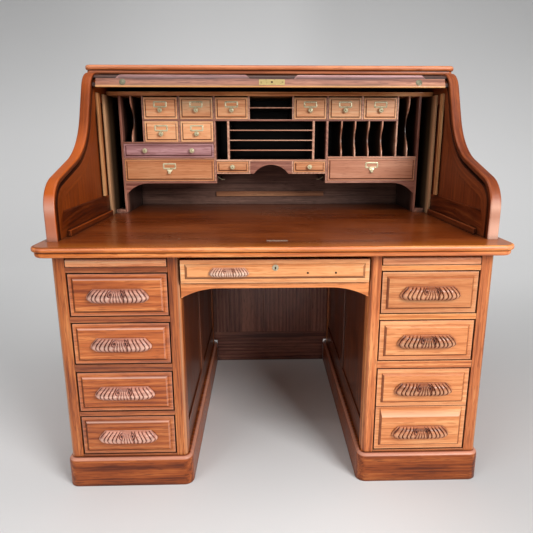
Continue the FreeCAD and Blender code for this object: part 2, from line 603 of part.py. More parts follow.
def roll_ends():
    """The S-shaped ends of the roll case, each with the tambour track, sunk panels and a rest strip."""
    base, top, back = size("desktop_top"), size("roll_top"), size("roll_back")
    shoulder = [(size("shoulder_radius"), -size("neck_angle"))]
    edges, end = walk((-size("roll_front"), base), 90, roll_steps(0) + shoulder)
    outline = closed_face(edges, [end, Vector(0, back, top), Vector(0, back, base)])
    front_wall, front_stop = track_shape(size("track_wide") / 2)
    rear_wall, rear_stop = track_shape(-size("track_wide") / 2)
    toes = [wall[0].Vertexes[0].Point for wall in (front_wall, rear_wall)]
    caps = [Part.LineSegment(*ends).toShape() for ends in ((front_stop, rear_stop), toes)]
    groove = Part.Face(Part.Wire(Part.__sortEdges__(front_wall + rear_wall + caps)))
    margin, rail = size("sunk_margin"), size("sunk_rail")
    steps = roll_steps(margin, size("shoulder_radius"))
    steps[0] = (size("roll_toe") - rail,)
    field, field_end = walk((-size("roll_front") + margin, base + rail), 90, steps)
    field_back = back - margin - size("sunk_rail")
    sunk = closed_face(field, [field_end, Vector(0, field_back, field_end.z),
                               Vector(0, field_back, base + rail)])
    for name, side in SIDES.items():
        outward = X_AXIS * side
        body = extruded(f"roll_{name}_blank", outline, outward, "roll_thick")
        body.setExpression("Placement.Base.x", formula(f"{side} * {ROLL_INNER}"))
        rim = eased(f"roll_{name}_rim", body, size("rim_ease"), is_rim)
        for tag, face, depth, at in (("track", groove, "track_deep", ROLL_INNER),
                                     ("inner_field", sunk, "sunk_deep", ROLL_INNER),
                                     ("outer_field", sunk, "sunk_deep", "(roll_outer - sunk_deep)")):
            cutter = extruded(f"roll_{name}_{tag}", face, outward, depth)
            cutter.setExpression("Placement.Base.x", formula(f"{side} * {at}"))
            rim = combine("Part::Cut", f"roll_{name}_less_{tag}", rim, cutter)
        strip = board(f"roll_{name}_rest", across(side, f"{ROLL_INNER} - rest_wide", ROLL_INNER),
                      ("-rest_start", "rest_long - rest_start"),
                      ("desktop_top", "desktop_top + rest_tall"))
        node(f"roll_end_{name}", rim, strip)


def is_rim(edge):
    """Whether an edge belongs to the S-curve along the front of a roll end."""
    box = edge.BoundBox
    ahead = box.YMax < size("shoulder_end") + TOUCH and box.ZMin > size("desktop_top") - TOUCH
    return ahead and box.XLength < TOUCH < box.ZLength


def slat_body(name, centre, start_angle, radius):
    """A tambour slat, crowned in front and flat at the back, as the first of a group.

    It lies at a distance from the body's own origin along its Z axis, which is turned by start_angle.
    """
    body = doc.addObject("PartDesign::Body", name)
    plane = next(o for o in body.Origin.OriginFeatures if o.Role == "YZ_Plane")
    sketch = body.newObject("Sketcher::SketchObject", name + "_section")
    sketch.AttachmentSupport = (plane, "")
    sketch.MapMode = "FlatFace"
    half, thick = (size("slat_pitch") - size("slat_gap")) / 2, size("slat_thick") / 2
    turned = Rotation(Vector(0, 0, 1), math.degrees(start_angle))
    back, shoulder = size("slat_back") / 2, size("slat_edge") - thick
    crown = size("slat_crown") / 2
    section = ((-back, -thick), (back, -thick), (half, shoulder), (crown, thick), (-crown, thick),
               (-half, shoulder))
    corner = [turned.multVec(Vector(along, radius + out, 0)) for along, out in section]
    for start, end in zip(corner, corner[1:] + corner[:1]):
        sketch.addGeometry(Part.LineSegment(start, end))
    pad = body.newObject("PartDesign::Pad", name + "_slat")
    pad.Profile = sketch
    pad.Midplane = True
    pad.setExpression("Length", formula(f"2 * ({ROLL_INNER} + slat_tail)"))
    body.Tip = pad
    body.Placement = Placement(centre, Rotation())
    doc.recompute()
    return body, pad


def repeated(body, first, kind, axis, count, spacing):
    """The group of slats made by repeating the first along or about an axis of its body."""
    pattern = body.newObject(f"PartDesign::{kind}", body.Name + "_row")
    pattern.Originals = [first]
    line = next(o for o in body.Origin.OriginFeatures if o.Role == axis)
    if kind == "LinearPattern":
        pattern.Direction = (line, [""])
        pattern.Length = spacing * (count - 1)
    else:
        pattern.Axis = (line, [""])
        pattern.Angle = math.degrees(spacing) * (count - 1)
    pattern.Reversed = kind == "PolarPattern" or axis == "Z_Axis"
    pattern.Occurrences = count
    body.Tip = pattern
    return body


def tambour():
    """The slats in four groups, each in one straight or round stretch of the track, and the lead rail."""
    bend_start, bend_centre, bend, turn_centre, turn = track_points()
    pitch = size("slat_pitch")
    neck = math.radians(size("neck_angle"))
    held, run = int(size("bend_slats")) - 1, int(size("run_slats"))
    round_turn, fall = int(size("turn_slats")), int(size("fall_slats"))
    first = neck - held * pitch / bend
    body, pad = slat_body("bend", bend_centre, first, bend)
    node("tambour_bend_slats", repeated(body, pad, "PolarPattern", "X_Axis", held, pitch / bend))
    body, pad = slat_body("run", Vector(0, bend_centre.y + pitch, 0), 0, size("track_top"))
    node("tambour_top_slats", repeated(body, pad, "LinearPattern", "Y_Axis", run, pitch))
    body, pad = slat_body("turn", turn_centre, -pitch / turn, turn)
    node("tambour_turn_slats", repeated(body, pad, "PolarPattern", "X_Axis", round_turn, pitch / turn))
    body, pad = slat_body("fall", Vector(0, turn_centre.y, turn_centre.z - pitch), -math.pi / 2, turn)
    node("tambour_back_slats", repeated(body, pad, "LinearPattern", "Z_Axis", fall, pitch))
    lead_rail(bend_start)


def lead_rail(bend_start):
    """The tambour's bottom rail with its tongues, two finger lifts and the brass set in its face."""
    tilt = Rotation(X_AXIS, size("neck_angle") - 90)
    low, high = -size("lead_low"), size("lead_high")
    front, rear, cut = -size("lead_front"), size("lead_rear"), size("lead_chamfer")
    end, tail = size("lead_end"), size("roll_outer") - size("roll_thick") + size("slat_tail")
    half = size("slat_thick") / 2
    section = [(0, front, low + cut), (0, front + cut, low), (0, rear, low), (0, rear, high),
               (0, front, high)]
    bar = extruded("lead_bar", polygon_face(section), X_AXIS, "2 * lead_end")
    bar.Placement = Placement(bend_start - X_AXIS * end, tilt)
    pieces = [bar]
    for side in SIDES.values():
        foot, crest = -size("tongue_low"), size("tongue_high")
        tongue = polygon_face([(0, -half, foot), (0, half, foot), (0, half, crest), (0, -half, crest)])
        peg = extruded(f"lead_tongue_{side + 1}", tongue, X_AXIS * side, f"{tail} - {end}")
        peg.Placement = Placement(bend_start + X_AXIS * end * side, tilt)
        pieces.append(peg)
        near, slope = size("lift_near") * side, size("lift_slope") * side
        far, crest = near + size("lift_long") * side, high + size("lift_tall")
        ramp = polygon_face([(near, 0, high), (far, 0, high), (far - slope, 0, crest),
                             (near + slope, 0, crest)])
        block = extruded(f"lead_lift_{side + 1}", ramp, Vector(0, 1, 0), "lift_front - lift_rear")
        block.Placement = Placement(bend_start + tilt.multVec(Vector(0, -size("lift_front"), 0)), tilt)
        pieces.append(block)
    node("lead_rail", *pieces)
    plate_half, plate_tall = size("lock_plate_wide") / 2, size("lock_plate_tall") / 2
    middle = (low + high) / 2
    plate = polygon_face([(-plate_half, 0, middle - plate_tall), (plate_half, 0, middle - plate_tall),
                          (plate_half, 0, middle + plate_tall), (-plate_half, 0, middle + plate_tall)])
    brass = [extruded("roll_lock_plate", plate, Vector(0, -1, 0), "plate_thick")]
    brass[0].Placement = Placement(bend_start + tilt.multVec(Vector(0, front, 0)), tilt)
    for side in SIDES.values():
        spot = bend_start + tilt.multVec(Vector(size("plug_x") * side, front, middle))
        facing = tilt.multiply(Rotation(X_AXIS, 90))
        brass.append(disc(f"lead_plug_{side + 1}", Placement(spot, facing), "plug_round"))
    node("roll_lock", *brass)


def case_back():
    """The framed and panelled back of the roll case, between the roll ends."""
    inner, half_stile = ROLL_INNER, "case_stile / 2"
    y = ("roll_back - back_thick", "roll_back")
    rails = (("desktop_top", "desktop_top + case_rail"), ("roll_top - case_rail", "roll_top"))
    between = (rails[0][1], rails[1][0])
    pieces = [board(f"case_rail_{n}", (f"-{inner}", inner), y, z) for n, z in enumerate(rails)]
    third = f"({inner} / 3)"
    stiles = [(f"-{inner}", f"-{inner} + case_stile"),
              (f"-{third} - {half_stile}", f"-{third} + {half_stile}"),
              (f"{third} - {half_stile}", f"{third} + {half_stile}"), (f"{inner} - case_stile", inner)]
    pieces += [board(f"case_stile_{n}", x, y, between) for n, x in enumerate(stiles)]
    pieces += [board(f"case_panel_{n}", (a[1], b[0]), panel_depth("roll_back"), between)
               for n, (a, b) in enumerate(zip(stiles, stiles[1:]))]
    node("case_back", *pieces)
    setback = "(strike_setback - desk_depth / 2)"
    node("strike_plate", board("strike", ("-strike_wide / 2", "strike_wide / 2"),
                               (setback, f"{setback} + strike_deep"),
                               ("desktop_top", "desktop_top + plate_thick")))


def cyma_divider(name, x, low, high, recess):
    """A thin divider whose front edge sweeps back and out again in three tangent arcs."""
    tall = high - low
    lead = size("cyma_lead") * tall
    sweep = tall - 2 * lead
    turn = 2 * math.atan(2 * recess / sweep)
    radius, bow = sweep / (4 * math.sin(turn)), math.degrees(turn)
    steps = [(lead,), (radius, bow), (radius, -2 * bow), (radius, bow), (lead,)]
    front, back = size("gallery_front"), size("gallery_back")
    edges, end = walk((front, high), -90, steps)
    face = closed_face(edges, [end, Vector(0, back, low), Vector(0, back, high)])
    leaf = extruded(name, face, X_AXIS, "cyma_thick")
    leaf.Placement = Placement(Vector(x - size("cyma_thick") / 2, 0, 0), Rotation())
    return leaf


def bracket(name, side):
    """A hollow-curved bracket between a tall divider and the floor of the wide drawers."""
    front, drop = size("gallery_front"), size("bracket_drop")
    corner = Vector(side * size("tall_inner"), front, size("chest_floor") - size("chest_board"))
    inward = Vector(-side * size("bracket_long"), 0, 0)
    tip, heel = corner + inward, corner - Vector(0, 0, drop)
    bow = corner + inward * size("bracket_bow") - Vector(0, 0, drop * size("bracket_sag"))
    outline = [Part.Arc(tip, bow, heel).toShape(), Part.LineSegment(heel, corner).toShape(),
               Part.LineSegment(corner, tip).toShape()]
    return extruded(name, Part.Face(Part.Wire(outline)), Vector(0, 1, 0), "gallery_board")


def gallery_case():
    """The gallery's carcass: top, back, full-height cheeks and dividers, feet, brackets and cleats."""
    depth = GALLERY_DEPTH
    whole = ("-cheek_outer", "cheek_outer")
    sheet_y = ("gallery_back", "gallery_back + gallery_sheet")
    ledge_y = ("gallery_back - ledge_thick", "gallery_back")
    cheek_y = ("cheek_front", "gallery_back")
    cleat_y = ("cleat_front", "cleat_front + cleat_wide")
    walls = {"cheek": ("cheek_inner", "cheek_outer", cheek_y), "tall": ("tall_inner", "tall_outer", depth)}
    pieces = [board("gallery_lid", whole, depth, (CEILING, "gallery_top")),
              board("gallery_sheet", whole, sheet_y, ("desktop_top", "gallery_top")),
              board("gallery_ledge", ("-ledge_half", "ledge_half"), ledge_y,
                    ("ledge_low", "ledge_low + ledge_tall"))]
    for name, side in SIDES.items():
        pieces += [board(f"gallery_{tag}_{name}", across(side, inner, outer), y, ("desktop_top", CEILING))
                   for tag, (inner, outer, y) in walls.items()]
        pieces += [
            board(f"gallery_foot_{name}", across(side, "tall_outer", "cheek_inner"), depth,
                  ("desktop_top", "desktop_top + tall_floor")),
            board(f"gallery_cleat_{name}", across(side, "cheek_outer - cleat_thick", "cheek_outer"),
                  cleat_y, ("desktop_top + cleat_foot", CEILING)),
            board(f"gallery_chest_floor_{name}", across(side, "bay_near_end", "tall_inner"), depth,
                  ("chest_floor - chest_board", "chest_floor")),
            bracket(f"gallery_bracket_{name}", side)]
    node("gallery_case", *pieces)


def gallery_arch():
    """The small arched apron under the middle of the gallery."""
    half, foot, front = size("well_half"), size("arch_foot"), size("gallery_front")
    top = size("well_floor")
    low, crown = top - size("arch_drop"), top - size("arch_rise")
    stops = ((half - foot, low), (half, low), (half, top), (-half, top), (-half, low), (foot - half, low))
    corner = [Vector(x, front, z) for x, z in stops]
    outline = [Part.Arc(corner[-1], Vector(0, front, crown), corner[0]).toShape()]
    outline += [Part.LineSegment(a, b).toShape() for a, b in zip(corner, corner[1:])]
    return extruded("gallery_arch", Part.Face(Part.Wire(outline)), Vector(0, 1, 0), "gallery_board")


def gallery_partitions():
    """Dividers, shelves and the arched apron that make the gallery's compartments."""
    shelf_top, rack_top = "(rail_high + rail_thick)", "(rack_floor + rail_thick)"
    well_top, chest_top = "(well_floor + rail_thick)", "(rail_mid + rail_thick)"
    chests = ("-tall_inner", "-bay_mid")
    shelves = {"rail_high": (("-bay_post", "bay_post"), ("rail_high", shelf_top)),
               "well_shelf": (("-well_half", "well_half"), ("well_shelf", "well_shelf + leaf_thick")),
               "well_floor": (("-bay_near_end", "bay_near_end"), ("well_floor", well_top)),
               "rail_mid": (chests, ("rail_mid", chest_top)),
               "rail_low": (chests, ("rail_low", "rail_low + rail_thick")),
               "rack_floor": (("bay_mid", "tall_inner"), ("rack_floor", rack_top)),
               "chest_gap": (("-bay_far", "-bay_mid_end"), (chest_top, "rail_high"))}
    for n in range(LEAVES):
        leaf = f"(leaf_first + {n} * leaf_pitch)"
        shelves[f"leaf_{n}"] = (("-shelf_half", "shelf_half"), (leaf, f"{leaf} + leaf_thick"))
    pieces = [board(name, x, GALLERY_DEPTH, z) for name, (x, z) in shelves.items()]
    high, far = (shelf_top, CEILING), ("bay_far_end", "bay_post")
    uprights = {"well": (("well_half", "bay_near"), high), "near": (("bay_near_end", "bay_mid"), high),
                "mid": (("bay_mid_end", "bay_far"), high), "far": (far, high),
                "shelf": (("shelf_half", "shelf_post"), (well_top, "rail_high")),
                "bay": (("bay_near_end", "bay_mid"), ("chest_floor", "rail_high")),
                "slim_floor": (("well_half", "bay_near_end"), ("slim_floor - slim_board", "slim_floor")),
                "slim_wall": (("well_half", "bay_near"), ("slim_floor", "well_floor"))}
    for name, side in SIDES.items():
        pieces += [board(f"{tag}_{name}", across(side, *x), GALLERY_DEPTH, z)
                   for tag, (x, z) in uprights.items()]
        floor, below = (chest_top, "rail_mid") if side < 0 else (rack_top, "rack_floor")
        pieces.append(board(f"far_low_{name}", across(side, *far), GALLERY_DEPTH, (floor, "rail_high")))
        pieces.append(cyma_divider(f"cyma_{name}", side * size("cyma_middle"),
                                   size(below) + size("rail_thick"),
                                   size("gallery_top") - size("gallery_board"), size("cyma_recess")))
    slot = (size("bay_far_end") - size("bay_mid")) / (RACK_LEAVES + 1)
    rack_low, rack_high = size("rack_floor") + size("rail_thick"), size("rail_high")
    pieces += [cyma_divider(f"rack_leaf_{n}", size("bay_mid") + slot * n, rack_low, rack_high,
                            size("rack_recess")) for n in range(1, RACK_LEAVES + 1)]
    node("gallery_partitions", *pieces, gallery_arch())


def knob(name, x, z, face):
    """A turned brass knob, its round in short flats: a stem that swells to a flattened head."""
    neck, swell, crown = (size(f"knob_{part}") for part in ("neck", "swell", "crown"))
    profile = ((0, "knob_stem"), (neck, "knob_stem"), (swell, "knob_round"), (crown, "knob_round"),
               (1, "knob_stem"))
    step = 2 * math.pi / TURNED_FACETS
    rings = []
    for share, radius in profile:
        spokes = [Vector(math.cos(step * n), 0, math.sin(step * n)) * size(radius)
                  for n in range(TURNED_FACETS)]
        rings.append([Vector(x, face - share * size("knob_deep"), z) + spoke for spoke in spokes])
    loops = [rings[0], rings[-1]]
    for low, high in zip(rings, rings[1:]):
        around = list(zip(low, low[1:] + low[:1], high[1:] + high[:1], high))
        loops += [list(corners) for corners in around]
    faces = [polygon_face(loop) for loop in loops]
    turned = doc.addObject("Part::Feature", name)
    turned.Shape = Part.makeSolid(Part.makeShell(faces))
    return turned


def card_holder(name, x, top):
    """A brass card frame: a thin plate with its middle cut out."""
    plane = "(gallery_front - tray_rise)"
    half, bare = "holder_wide / 2", "(holder_wide / 2 - holder_rim)"
    outer = board(name + "_plate", (f"{x} - {half}", f"{x} + {half}"), (f"{plane} - holder_thick", plane),
                  (f"{top} - holder_tall", top))
    window = board(name + "_window", (f"{x} - {bare}", f"{x} + {bare}"),
                   (f"{plane} - 2 * holder_thick", f"{plane} + cut_past"),
                   (f"{top} - holder_tall + holder_rim", f"{top} - holder_rim"))
    return combine("Part::Cut", name, outer, window)


def finger_lip(name, x, top, face):
    """A brass finger lip: a wedge that narrows as it stands out from the drawer."""
    half, low = size("lip_wide") / 2, top - size("lip_tall")
    bounds = {"Xmin": x - half / 2, "Xmax": x + half / 2, "X2min": x - half, "X2max": x + half,
              "Zmin": low, "Zmax": low + size("lip_edge"), "Z2min": low, "Z2max": top,
              "Ymin": face - size("lip_deep"), "Ymax": face}
    lip = doc.addObject("Part::Wedge", name)
    for prop, value in bounds.items():
        setattr(lip, prop, value)
    return lip


def drawer_brass(name, kind, front):
    """The brass on a gallery drawer, placed from the outline of its front."""
    box = front.Shape.BoundBox
    centre, middle = box.Center.x, box.Center.z
    face = size("gallery_front") - size("tray_rise")
    if kind is Brass.KNOB:
        return [knob(f"{name}_knob", centre, middle, face)]
    if kind is Brass.KNOB_PAIR:
        apart = box.XLength * size("pair_share")
        return [knob(f"{name}_knob_{n}", centre + apart * n, middle, face) for n in (-1, 1)]
    top = box.ZMax - size("tray_margin") - size("holder_drop")
    below = top - size("holder_tall") - size("holder_thick") / 2
    holder = card_holder(f"{name}_holder", centre, top)
    if kind is Brass.HOLDER_AND_LIP:
        return [holder, finger_lip(f"{name}_lip", centre, below, face)]
    return [holder, knob(f"{name}_knob", centre, below - size("knob_round"), face)]


def gallery_drawers():
    """Thirteen small drawers, and the brass on each as a sub-part of its own."""
    columns = {"near": ("bay_near", "bay_near_end"), "mid": ("bay_mid", "bay_mid_end"),
               "far": ("bay_far", "bay_far_end"), "wide": ("bay_mid", "tall_inner")}
    rows = {"top": ("rail_high + rail_thick", f"{CEILING} - leaf_thick"),
            "second": ("rail_mid + rail_thick", "rail_high"), "thin": ("rail_low + rail_thick", "rail_mid"),
            "deep_left": ("chest_floor", "rail_low"), "deep_right": ("chest_floor", "rack_floor"),
            "slim": ("slim_floor", "well_floor")}
    layout = [(f"top_{name}_{column}", side, column, "top", Brass.HOLDER_AND_KNOB)
              for name, side in SIDES.items() for column in ("near", "mid", "far")]
    layout += [(f"second_left_{column}", -1, column, "second", Brass.HOLDER_AND_KNOB)
               for column in ("mid", "far")]
    layout += [(f"slim_{name}", side, "near", "slim", Brass.KNOB) for name, side in SIDES.items()]
    layout += [(f"wide_deep_{name}", side, "wide", f"deep_{name}", Brass.HOLDER_AND_LIP)
               for name, side in SIDES.items()]
    layout.append(("wide_thin_left", -1, "wide", "thin", Brass.KNOB_PAIR))
    kind = {"name": "tray", "face": "gallery_front", "long": "tray_long"}
    for name, side, column, row, brass in layout:
        near, far = columns[column]
        x = across(side, f"{near} + tray_gap", f"{far} - tray_gap")
        z = (f"{rows[row][0]} + slide_fit", f"{rows[row][1]} - tray_gap")
        label = f"gallery_drawer_{name}"
        front = raised_front(label, x, z, kind)
        node(label, front, *drawer_box(label, x, z, kind))
        doc.recompute()
        node(f"gallery_brass_{name}", *drawer_brass(name, brass, front))


def check_and_write():
    """Stops on any failed object or shape, then writes one file per sub-part."""
    doc.recompute()
    failed = [o.Name for o in doc.Objects if "Invalid" in o.State or "Error" in o.State]
    if failed:
        raise RuntimeError(f"objects that failed: {failed}")
    bad = [o.Label for o in nodes if o.Shape.isNull() or not o.Shape.isValid() or not o.Shape.Solids]
    if bad:
        raise RuntimeError(f"shapes that are not valid solids: {bad}")
    os.makedirs("parts", exist_ok=True)
    for piece in nodes:
        piece.Shape.exportStep(f"parts/{piece.Label}.step")
    whole = FreeCAD.BoundBox()
    for piece in nodes:
        whole.add(piece.Shape.BoundBox)
    print(f"{len(nodes)} sub-parts, {sum(len(o.Shape.Solids) for o in nodes)} solids, box {whole}")


desktop()
top_board()
for side_name, side_sign in SIDES.items():
    plinth(f"plinth_{side_name}", side_sign)
pedestal("left", -1, ())
pedestal("right", 1, (0,))
runners()
kneehole()
pedestal_drawers()
centre_drawer()
writing_slides()
roll_ends()
tambour()
case_back()
gallery_case()
gallery_partitions()
gallery_drawers()
check_and_write()
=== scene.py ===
import logging
import math
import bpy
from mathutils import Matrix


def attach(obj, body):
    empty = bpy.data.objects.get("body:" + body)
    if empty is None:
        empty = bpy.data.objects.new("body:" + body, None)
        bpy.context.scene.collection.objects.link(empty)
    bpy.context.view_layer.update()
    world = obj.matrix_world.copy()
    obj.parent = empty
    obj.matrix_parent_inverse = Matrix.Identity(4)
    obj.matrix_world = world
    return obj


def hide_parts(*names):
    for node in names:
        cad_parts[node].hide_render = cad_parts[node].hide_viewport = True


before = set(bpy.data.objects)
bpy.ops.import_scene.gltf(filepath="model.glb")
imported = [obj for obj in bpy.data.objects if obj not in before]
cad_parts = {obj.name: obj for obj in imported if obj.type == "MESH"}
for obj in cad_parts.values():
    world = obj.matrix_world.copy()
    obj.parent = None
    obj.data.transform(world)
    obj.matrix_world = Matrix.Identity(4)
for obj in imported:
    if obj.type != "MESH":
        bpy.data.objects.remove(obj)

import zlib
from dataclasses import dataclass, field
from enum import Enum, IntEnum
from functools import reduce
from typing import Sequence

import bmesh
import bpy
import numpy as np
from mathutils import Matrix, Vector

Array = np.ndarray
Socket = bpy.types.NodeSocket
Colour = tuple[int, int, int]
Linear = tuple[float, float, float, float]
Triple = tuple[float, float, float]
Pair = tuple[float, float]
Groups = dict[str, bpy.types.NodeTree]

log = logging.getLogger("roll_top_desk")

LEFT, RIGHT = -1, 1
SIDES = (LEFT, RIGHT)
SIDE_NAMES = {LEFT: "left", RIGHT: "right"}
DESK = "desk"
QUARTER = math.pi / 2
DRAWER_BAY = (0.3055, 0.5855)
FRONT_THICK = 0.019
BOX_EASE = 0.001
CARVED_SHARP = 70.0


class Slot(Enum):
    """The record's material slots."""

    CASE = "case_wood"
    DRAWER = "drawer_wood"
    DARK = "dark_wood"
    GALLERY = "gallery_wood"
    TAMBOUR = "tambour_wood"
    BRASS = "brass"


class Axis(IntEnum):
    """The three directions of the desk."""

    X = 0
    Y = 1
    Z = 2


def tone(red: int, green: int, blue: int) -> Linear:
    """A screen colour of 0 to 255 as the linear colour that a shader takes.

    Args:
        red: Red share.
        green: Green share.
        blue: Blue share.

    Returns:
        The linear colour with an alpha of one.
    """
    share = np.array([red, green, blue]) / 255.0
    linear = np.where(share <= 0.04045, share / 12.92, ((share + 0.055) / 1.055) ** 2.4)
    return (float(linear[0]), float(linear[1]), float(linear[2]), 1.0)


def grey(level: int) -> Linear:
    """A neutral screen colour as a linear one."""
    return tone(level, level, level)


# Shader graphs


@dataclass
class Graph:
    """A node tree with short ways to add and join its nodes."""

    tree: bpy.types.NodeTree

    def add(self, kind: str, **settings: object) -> bpy.types.Node:
        """Adds a node of a kind and sets its properties.

        Args:
            kind: The node's type, without the ShaderNode in front.
            settings: Properties to set on it.

        Returns:
            The new node.
        """
        made = self.tree.nodes.new("ShaderNode" + kind)
        for key, value in settings.items():
            setattr(made, key, value)
        return made

    def fill(self, node: bpy.types.Node, values: dict[str | int, object]) -> bpy.types.Node:
        """Sets a node's inputs to numbers or colours, or joins them to outputs.

        Args:
            node: The node.
            values: A number, a colour or another node's output, by the input's name or number.

        Returns:
            The same node.
        """
        for key, value in values.items():
            if isinstance(value, Socket):
                self.tree.links.new(value, node.inputs[key])
            else:
                node.inputs[key].default_value = value
        return node

    def maths(self, operation: str, *values: object) -> Socket:
        """One sum on numbers or outputs, in their order."""
        return self.fill(self.add("Math", operation=operation), dict(enumerate(values))).outputs[0]

    def product(self, *values: object) -> Socket:
        """Numbers or outputs multiplied, one after another."""
        return reduce(lambda first, second: self.maths("MULTIPLY", first, second), values)

    def sunk(self, relief: Socket) -> Socket:
        """How far relief lies below zero."""
        return self.maths("MAXIMUM", self.product(relief, -1.0), 0.0)

    def blend(self, share: object, first: object, second: object, kind: str = "MIX") -> Socket:
        """Two colours mixed by a blend type, with a share of the second."""
        made = self.add("Mix", data_type="RGBA", blend_type=kind, clamp_factor=True)
        return self.fill(made, {0: share, 6: first, 7: second}).outputs[2]

    def spread(self, value: object, low: float, high: float, start: float = 0.0, end: float = 1.0) -> Socket:
        """A value mapped smoothly from the range of low to high onto that of start to end."""
        made = self.add("MapRange", interpolation_type="SMOOTHSTEP")
        return self.fill(made, dict(enumerate((value, low, high, start, end)))).outputs[0]

    def stretched(self, vector: Socket, scale: Triple) -> Socket:
        """Coordinates multiplied by a scale for each direction."""
        return self.fill(self.add("VectorMath", operation="MULTIPLY"), {0: vector, 1: scale}).outputs[0]

    def streaks(self, vector: Socket, scale: Triple, detail: float) -> Socket:
        """Noise of so many cells to a metre along each direction, with finer layers by detail."""
        values = {"Vector": self.stretched(vector, scale), "Scale": 1.0, "Detail": detail, "Roughness": 0.55}
        return self.fill(self.add("TexNoise", noise_dimensions="3D"), values).outputs[0]

    def read(self, name: str, output: str) -> Socket:
        """One output of a piece's attribute."""
        return self.add("Attribute", attribute_name=name).outputs[output]

    def place(self) -> bpy.types.bpy_prop_collection:
        """The X, Y and Z of Object coordinates, by name."""
        return self.fill(self.add("SeparateXYZ"), {"Vector": self.add("TexCoord").outputs["Object"]}).outputs


def open_group(name: str, inputs: dict[str, str],
               outputs: dict[str, str]) -> tuple[Graph, dict[str, Socket], bpy.types.Node]:
    """An empty shader group with named sockets.

    Args:
        name: The group's name.
        inputs: Socket kind by input name.
        outputs: Socket kind by output name.

    Returns:
        The graph, the inside ends of its inputs by name, and its output node.
    """
    tree = bpy.data.node_groups.new(name, "ShaderNodeTree")
    for way, sockets in (("INPUT", inputs), ("OUTPUT", outputs)):
        for label, kind in sockets.items():
            tree.interface.new_socket(label, in_out=way, socket_type="NodeSocket" + kind)
    given = tree.nodes.new("NodeGroupInput")
    taken = tree.nodes.new("NodeGroupOutput")
    return Graph(tree), {label: given.outputs[label] for label in inputs}, taken


def new_material(name: str) -> tuple[bpy.types.Material, Graph, bpy.types.Node]:
    """A new material with its graph and its shader.

    Args:
        name: The material's name.

    Returns:
        The material, its graph and its Principled shader.
    """
    made = bpy.data.materials.new(name)
    made.use_nodes = True
    return made, Graph(made.node_tree), made.node_tree.nodes["Principled BSDF"]


@dataclass(frozen=True)
class WoodGrain:
    """Shared grain: soft growth rings round a wandering heart line, streaks, fibres, dark pores and blotches."""

    ring_stretch: Triple = (0.07, 1.0, 1.0)
    ring_wander: float = 9.0
    ring_detail: float = 3.0
    ring_fineness: float = 0.35
    streak_scale: Triple = (3.2, 165.0, 165.0)
    streak_share: float = 0.48
    fibre_scale: Triple = (12.0, 360.0, 360.0)
    blotch_scale: Triple = (3.0, 9.0, 9.0)
    blotch_share: float = 0.40
    pore_scale: Triple = (24.0, 330.0, 330.0)
    pore_range: Pair = (0.56, 0.68)
    pore_share: float = 0.6
    base_range: Pair = (0.28, 0.45)
    light_range: Pair = (0.44, 0.62)
    tint_share: float = 0.13
    fibre_height: float = 0.6
    ring_height: float = 0.2
    sheen: Linear = (0.25, 0.8, -0.07, 0.09)

    def tree(self) -> bpy.types.NodeTree:
        """The group, which sums the layers to one level and takes the dark, base and light tones from it.

        Returns:
            The group's tree, with the outputs Color, Height and Sheen.
        """
        graph, given, taken = open_group(
            "wood_grain",
            {"Grain": "Vector", "Dark": "Color", "Base": "Color", "Light": "Color", "Tint": "Float",
             "Rings": "Float", "Fibre": "Float", "Figure": "Float"},
            {"Color": "Color", "Height": "Float", "Sheen": "Float"},
        )
        grain = given["Grain"]
        wave = graph.fill(graph.add("TexWave", wave_type="RINGS", rings_direction="X", wave_profile="SIN"), {
            "Vector": graph.stretched(grain, self.ring_stretch), "Scale": given["Rings"],
            "Distortion": self.ring_wander, "Detail": self.ring_detail, "Detail Scale": self.ring_fineness})
        rings = wave.outputs["Fac"]
        streak = graph.streaks(grain, self.streak_scale, 3.0)
        fibre = graph.streaks(grain, self.fibre_scale, 2.0)
        blotch = graph.streaks(grain, self.blotch_scale, 2.0)
        pores = graph.spread(graph.streaks(grain, self.pore_scale, 1.0), *self.pore_range)
        figure = graph.maths("MULTIPLY_ADD", rings, given["Figure"], graph.product(streak, self.streak_share))
        figure = graph.maths("ADD", figure, graph.product(fibre, given["Fibre"]))
        figure = graph.maths("ADD", figure, graph.product(blotch, self.blotch_share))
        level = graph.maths("MULTIPLY_ADD", given["Fibre"], -0.5, figure)
        level = graph.maths("MULTIPLY_ADD", given["Figure"], -0.5, level)
        colour = graph.blend(graph.spread(level, *self.base_range), given["Dark"], given["Base"])
        colour = graph.blend(graph.spread(level, *self.light_range), colour, given["Light"])
        colour = graph.blend(graph.product(pores, self.pore_share), colour, given["Dark"])
        bright = graph.maths("MULTIPLY_ADD", given["Tint"], self.tint_share, 1.0)
        shade = graph.fill(graph.add("CombineColor"), {0: bright, 1: bright, 2: bright})
        height = graph.maths("MULTIPLY_ADD", fibre, self.fibre_height, graph.product(rings, self.ring_height))
        graph.fill(taken, {"Color": graph.blend(1.0, colour, shade.outputs[0], "MULTIPLY"), "Height": height,
                           "Sheen": graph.spread(blotch, *self.sheen)})
        return graph.tree


